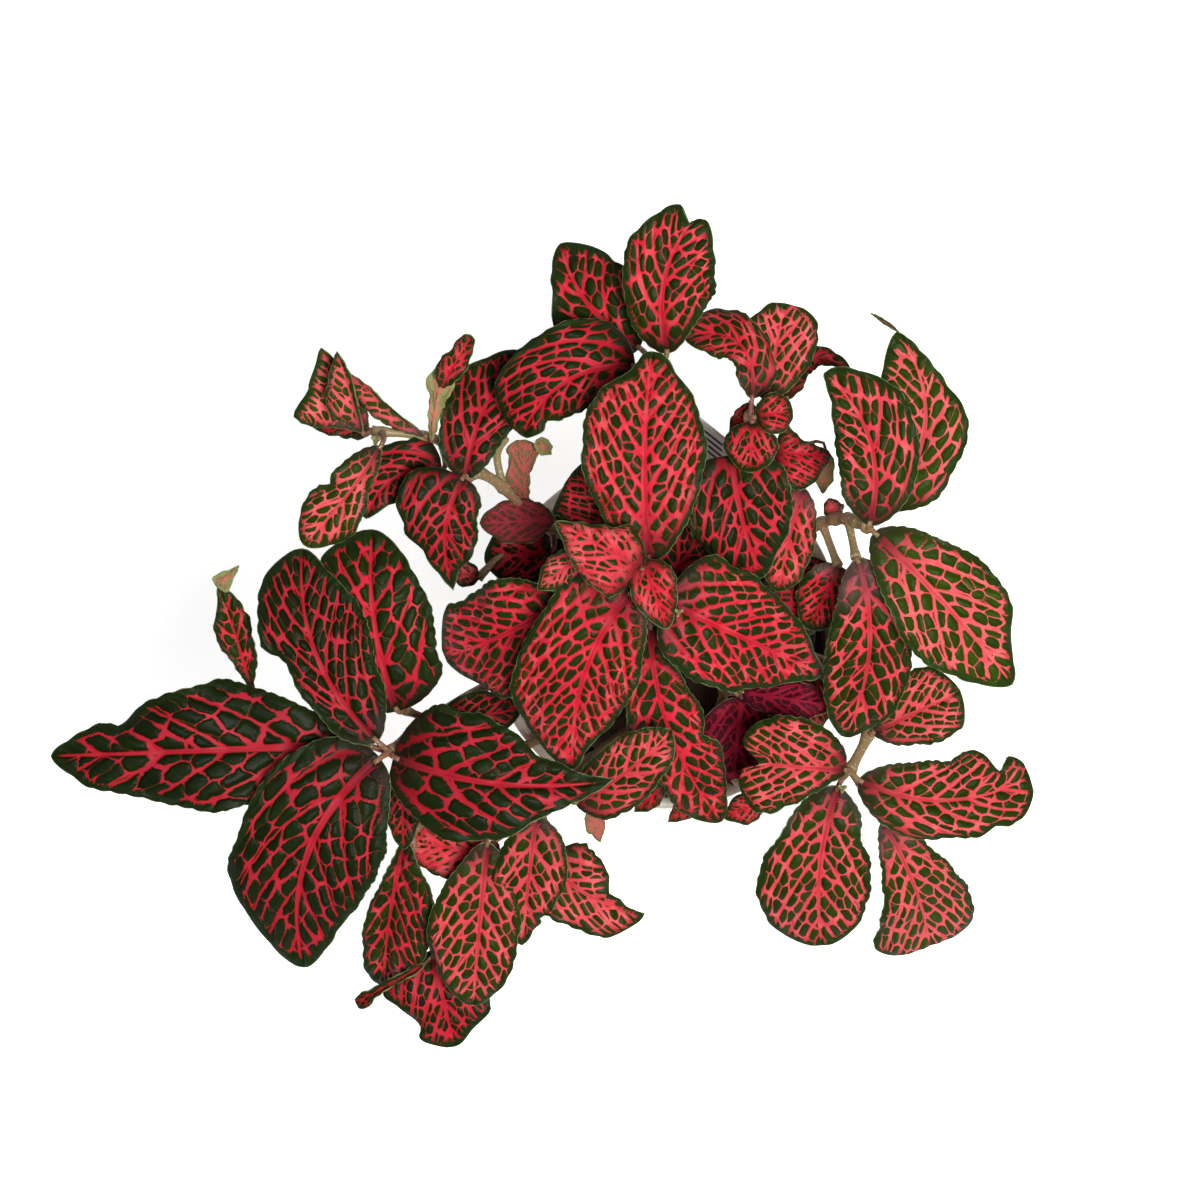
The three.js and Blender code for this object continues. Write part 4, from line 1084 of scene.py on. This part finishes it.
def addTag():
    head, foot = seen(*tag["head"]), seen(*tag["foot"])
    rise = head - foot
    length = rise.length + tag["sunk"]
    outward = rise.normalized()
    turn = math.radians(tag["turn"])
    across = Vector((math.cos(turn), math.sin(turn), 0))
    across = (across - outward * across.dot(outward)).normalized()
    face = across.cross(outward)
    bm = bmesh.new()
    bmesh.ops.create_cube(bm, size=1)
    bmesh.ops.scale(bm, vec=(tag["width"], length, tag["thickness"]), verts=bm.verts)
    corners = [edge for edge in bm.edges if edge.verts[0].co.y > 0
               and abs((edge.verts[0].co - edge.verts[1].co).normalized().z) > 0.9]
    bmesh.ops.bevel(bm, geom=corners, offset=tag["corner"], segments=6, profile=0.5, material=-1,
                    affect="EDGES")
    rims = [edge for edge in bm.edges if edge.calc_face_angle() > math.radians(60)]
    bmesh.ops.bevel(bm, geom=rims, offset=0.15, segments=2, profile=0.5, material=-1, affect="EDGES")
    laidFlat = bm.loops.layers.uv.new("tagFace")
    for polygon in bm.faces:
        for loop in polygon.loops:
            loop[laidFlat].uv = (loop.vert.co.x, length / 2 - loop.vert.co.y)
    lean = Matrix((across, outward, face)).transposed().to_4x4()
    middle = Matrix.Translation((head - outward * length / 2) * mm)
    bmesh.ops.transform(bm, matrix=middle @ lean @ Matrix.Scale(mm, 4), verts=bm.verts)
    piece("plantTag", bm, [tagMaterial()], ["plant_tag"], smooth=False)


addTag()
print("tag placed")


# Stage: soft light and a plain pale floor, which glows more to the camera than to the plant

stage = dict(
    floor=(0.95, 0.95, 0.95, 1), floorRoughness=0.9, glow=0.12, seenGlow=0.62, white=(1, 1, 1, 1), room=0.05,
    aim=(-0.02, 0.01, 0.15), lampSize=0.8,
    lamps=dict(keyLight=((0.38, -0.3, 1.75), 36), fillLight=((-0.7, 0.6, 1.3), 2.5)),
)


def addStage():
    bm = bmesh.new()
    bmesh.ops.create_grid(bm, x_segments=1, y_segments=1, size=4)
    mesh = bpy.data.meshes.new("floor")
    bm.to_mesh(mesh)
    bm.free()
    material, graph, shader = newMaterial("paleFloor")
    glow = graph.add("ShaderNodeLightPath")["Is Camera Ray"] * stage["seenGlow"] + stage["glow"]
    graph.fill(shader, {"Base Color": stage["floor"], "Emission Color": stage["white"],
                        "Emission Strength": glow, "Roughness": stage["floorRoughness"]})
    mesh.materials.append(material)
    floor = bpy.data.objects.new("floor", mesh)
    bpy.context.scene.collection.objects.link(floor)

    world = bpy.data.worlds.new("room")
    world.use_nodes = True
    background = world.node_tree.nodes["Background"].inputs
    background["Color"].default_value = stage["white"]
    background["Strength"].default_value = stage["room"]
    bpy.context.scene.world = world
    for name, (place, power) in stage["lamps"].items():
        light = bpy.data.lights.new(name, "AREA")
        light.shape = "DISK"
        light.size = stage["lampSize"]
        light.energy = power
        lamp = bpy.data.objects.new(name, light)
        lamp.location = place
        lamp.rotation_euler = (Vector(stage["aim"]) - lamp.location).to_track_quat("-Z", "Y").to_euler()
        bpy.context.scene.collection.objects.link(lamp)
    bpy.context.scene.view_settings.view_transform = "Standard"


addStage()
print("stage lit")
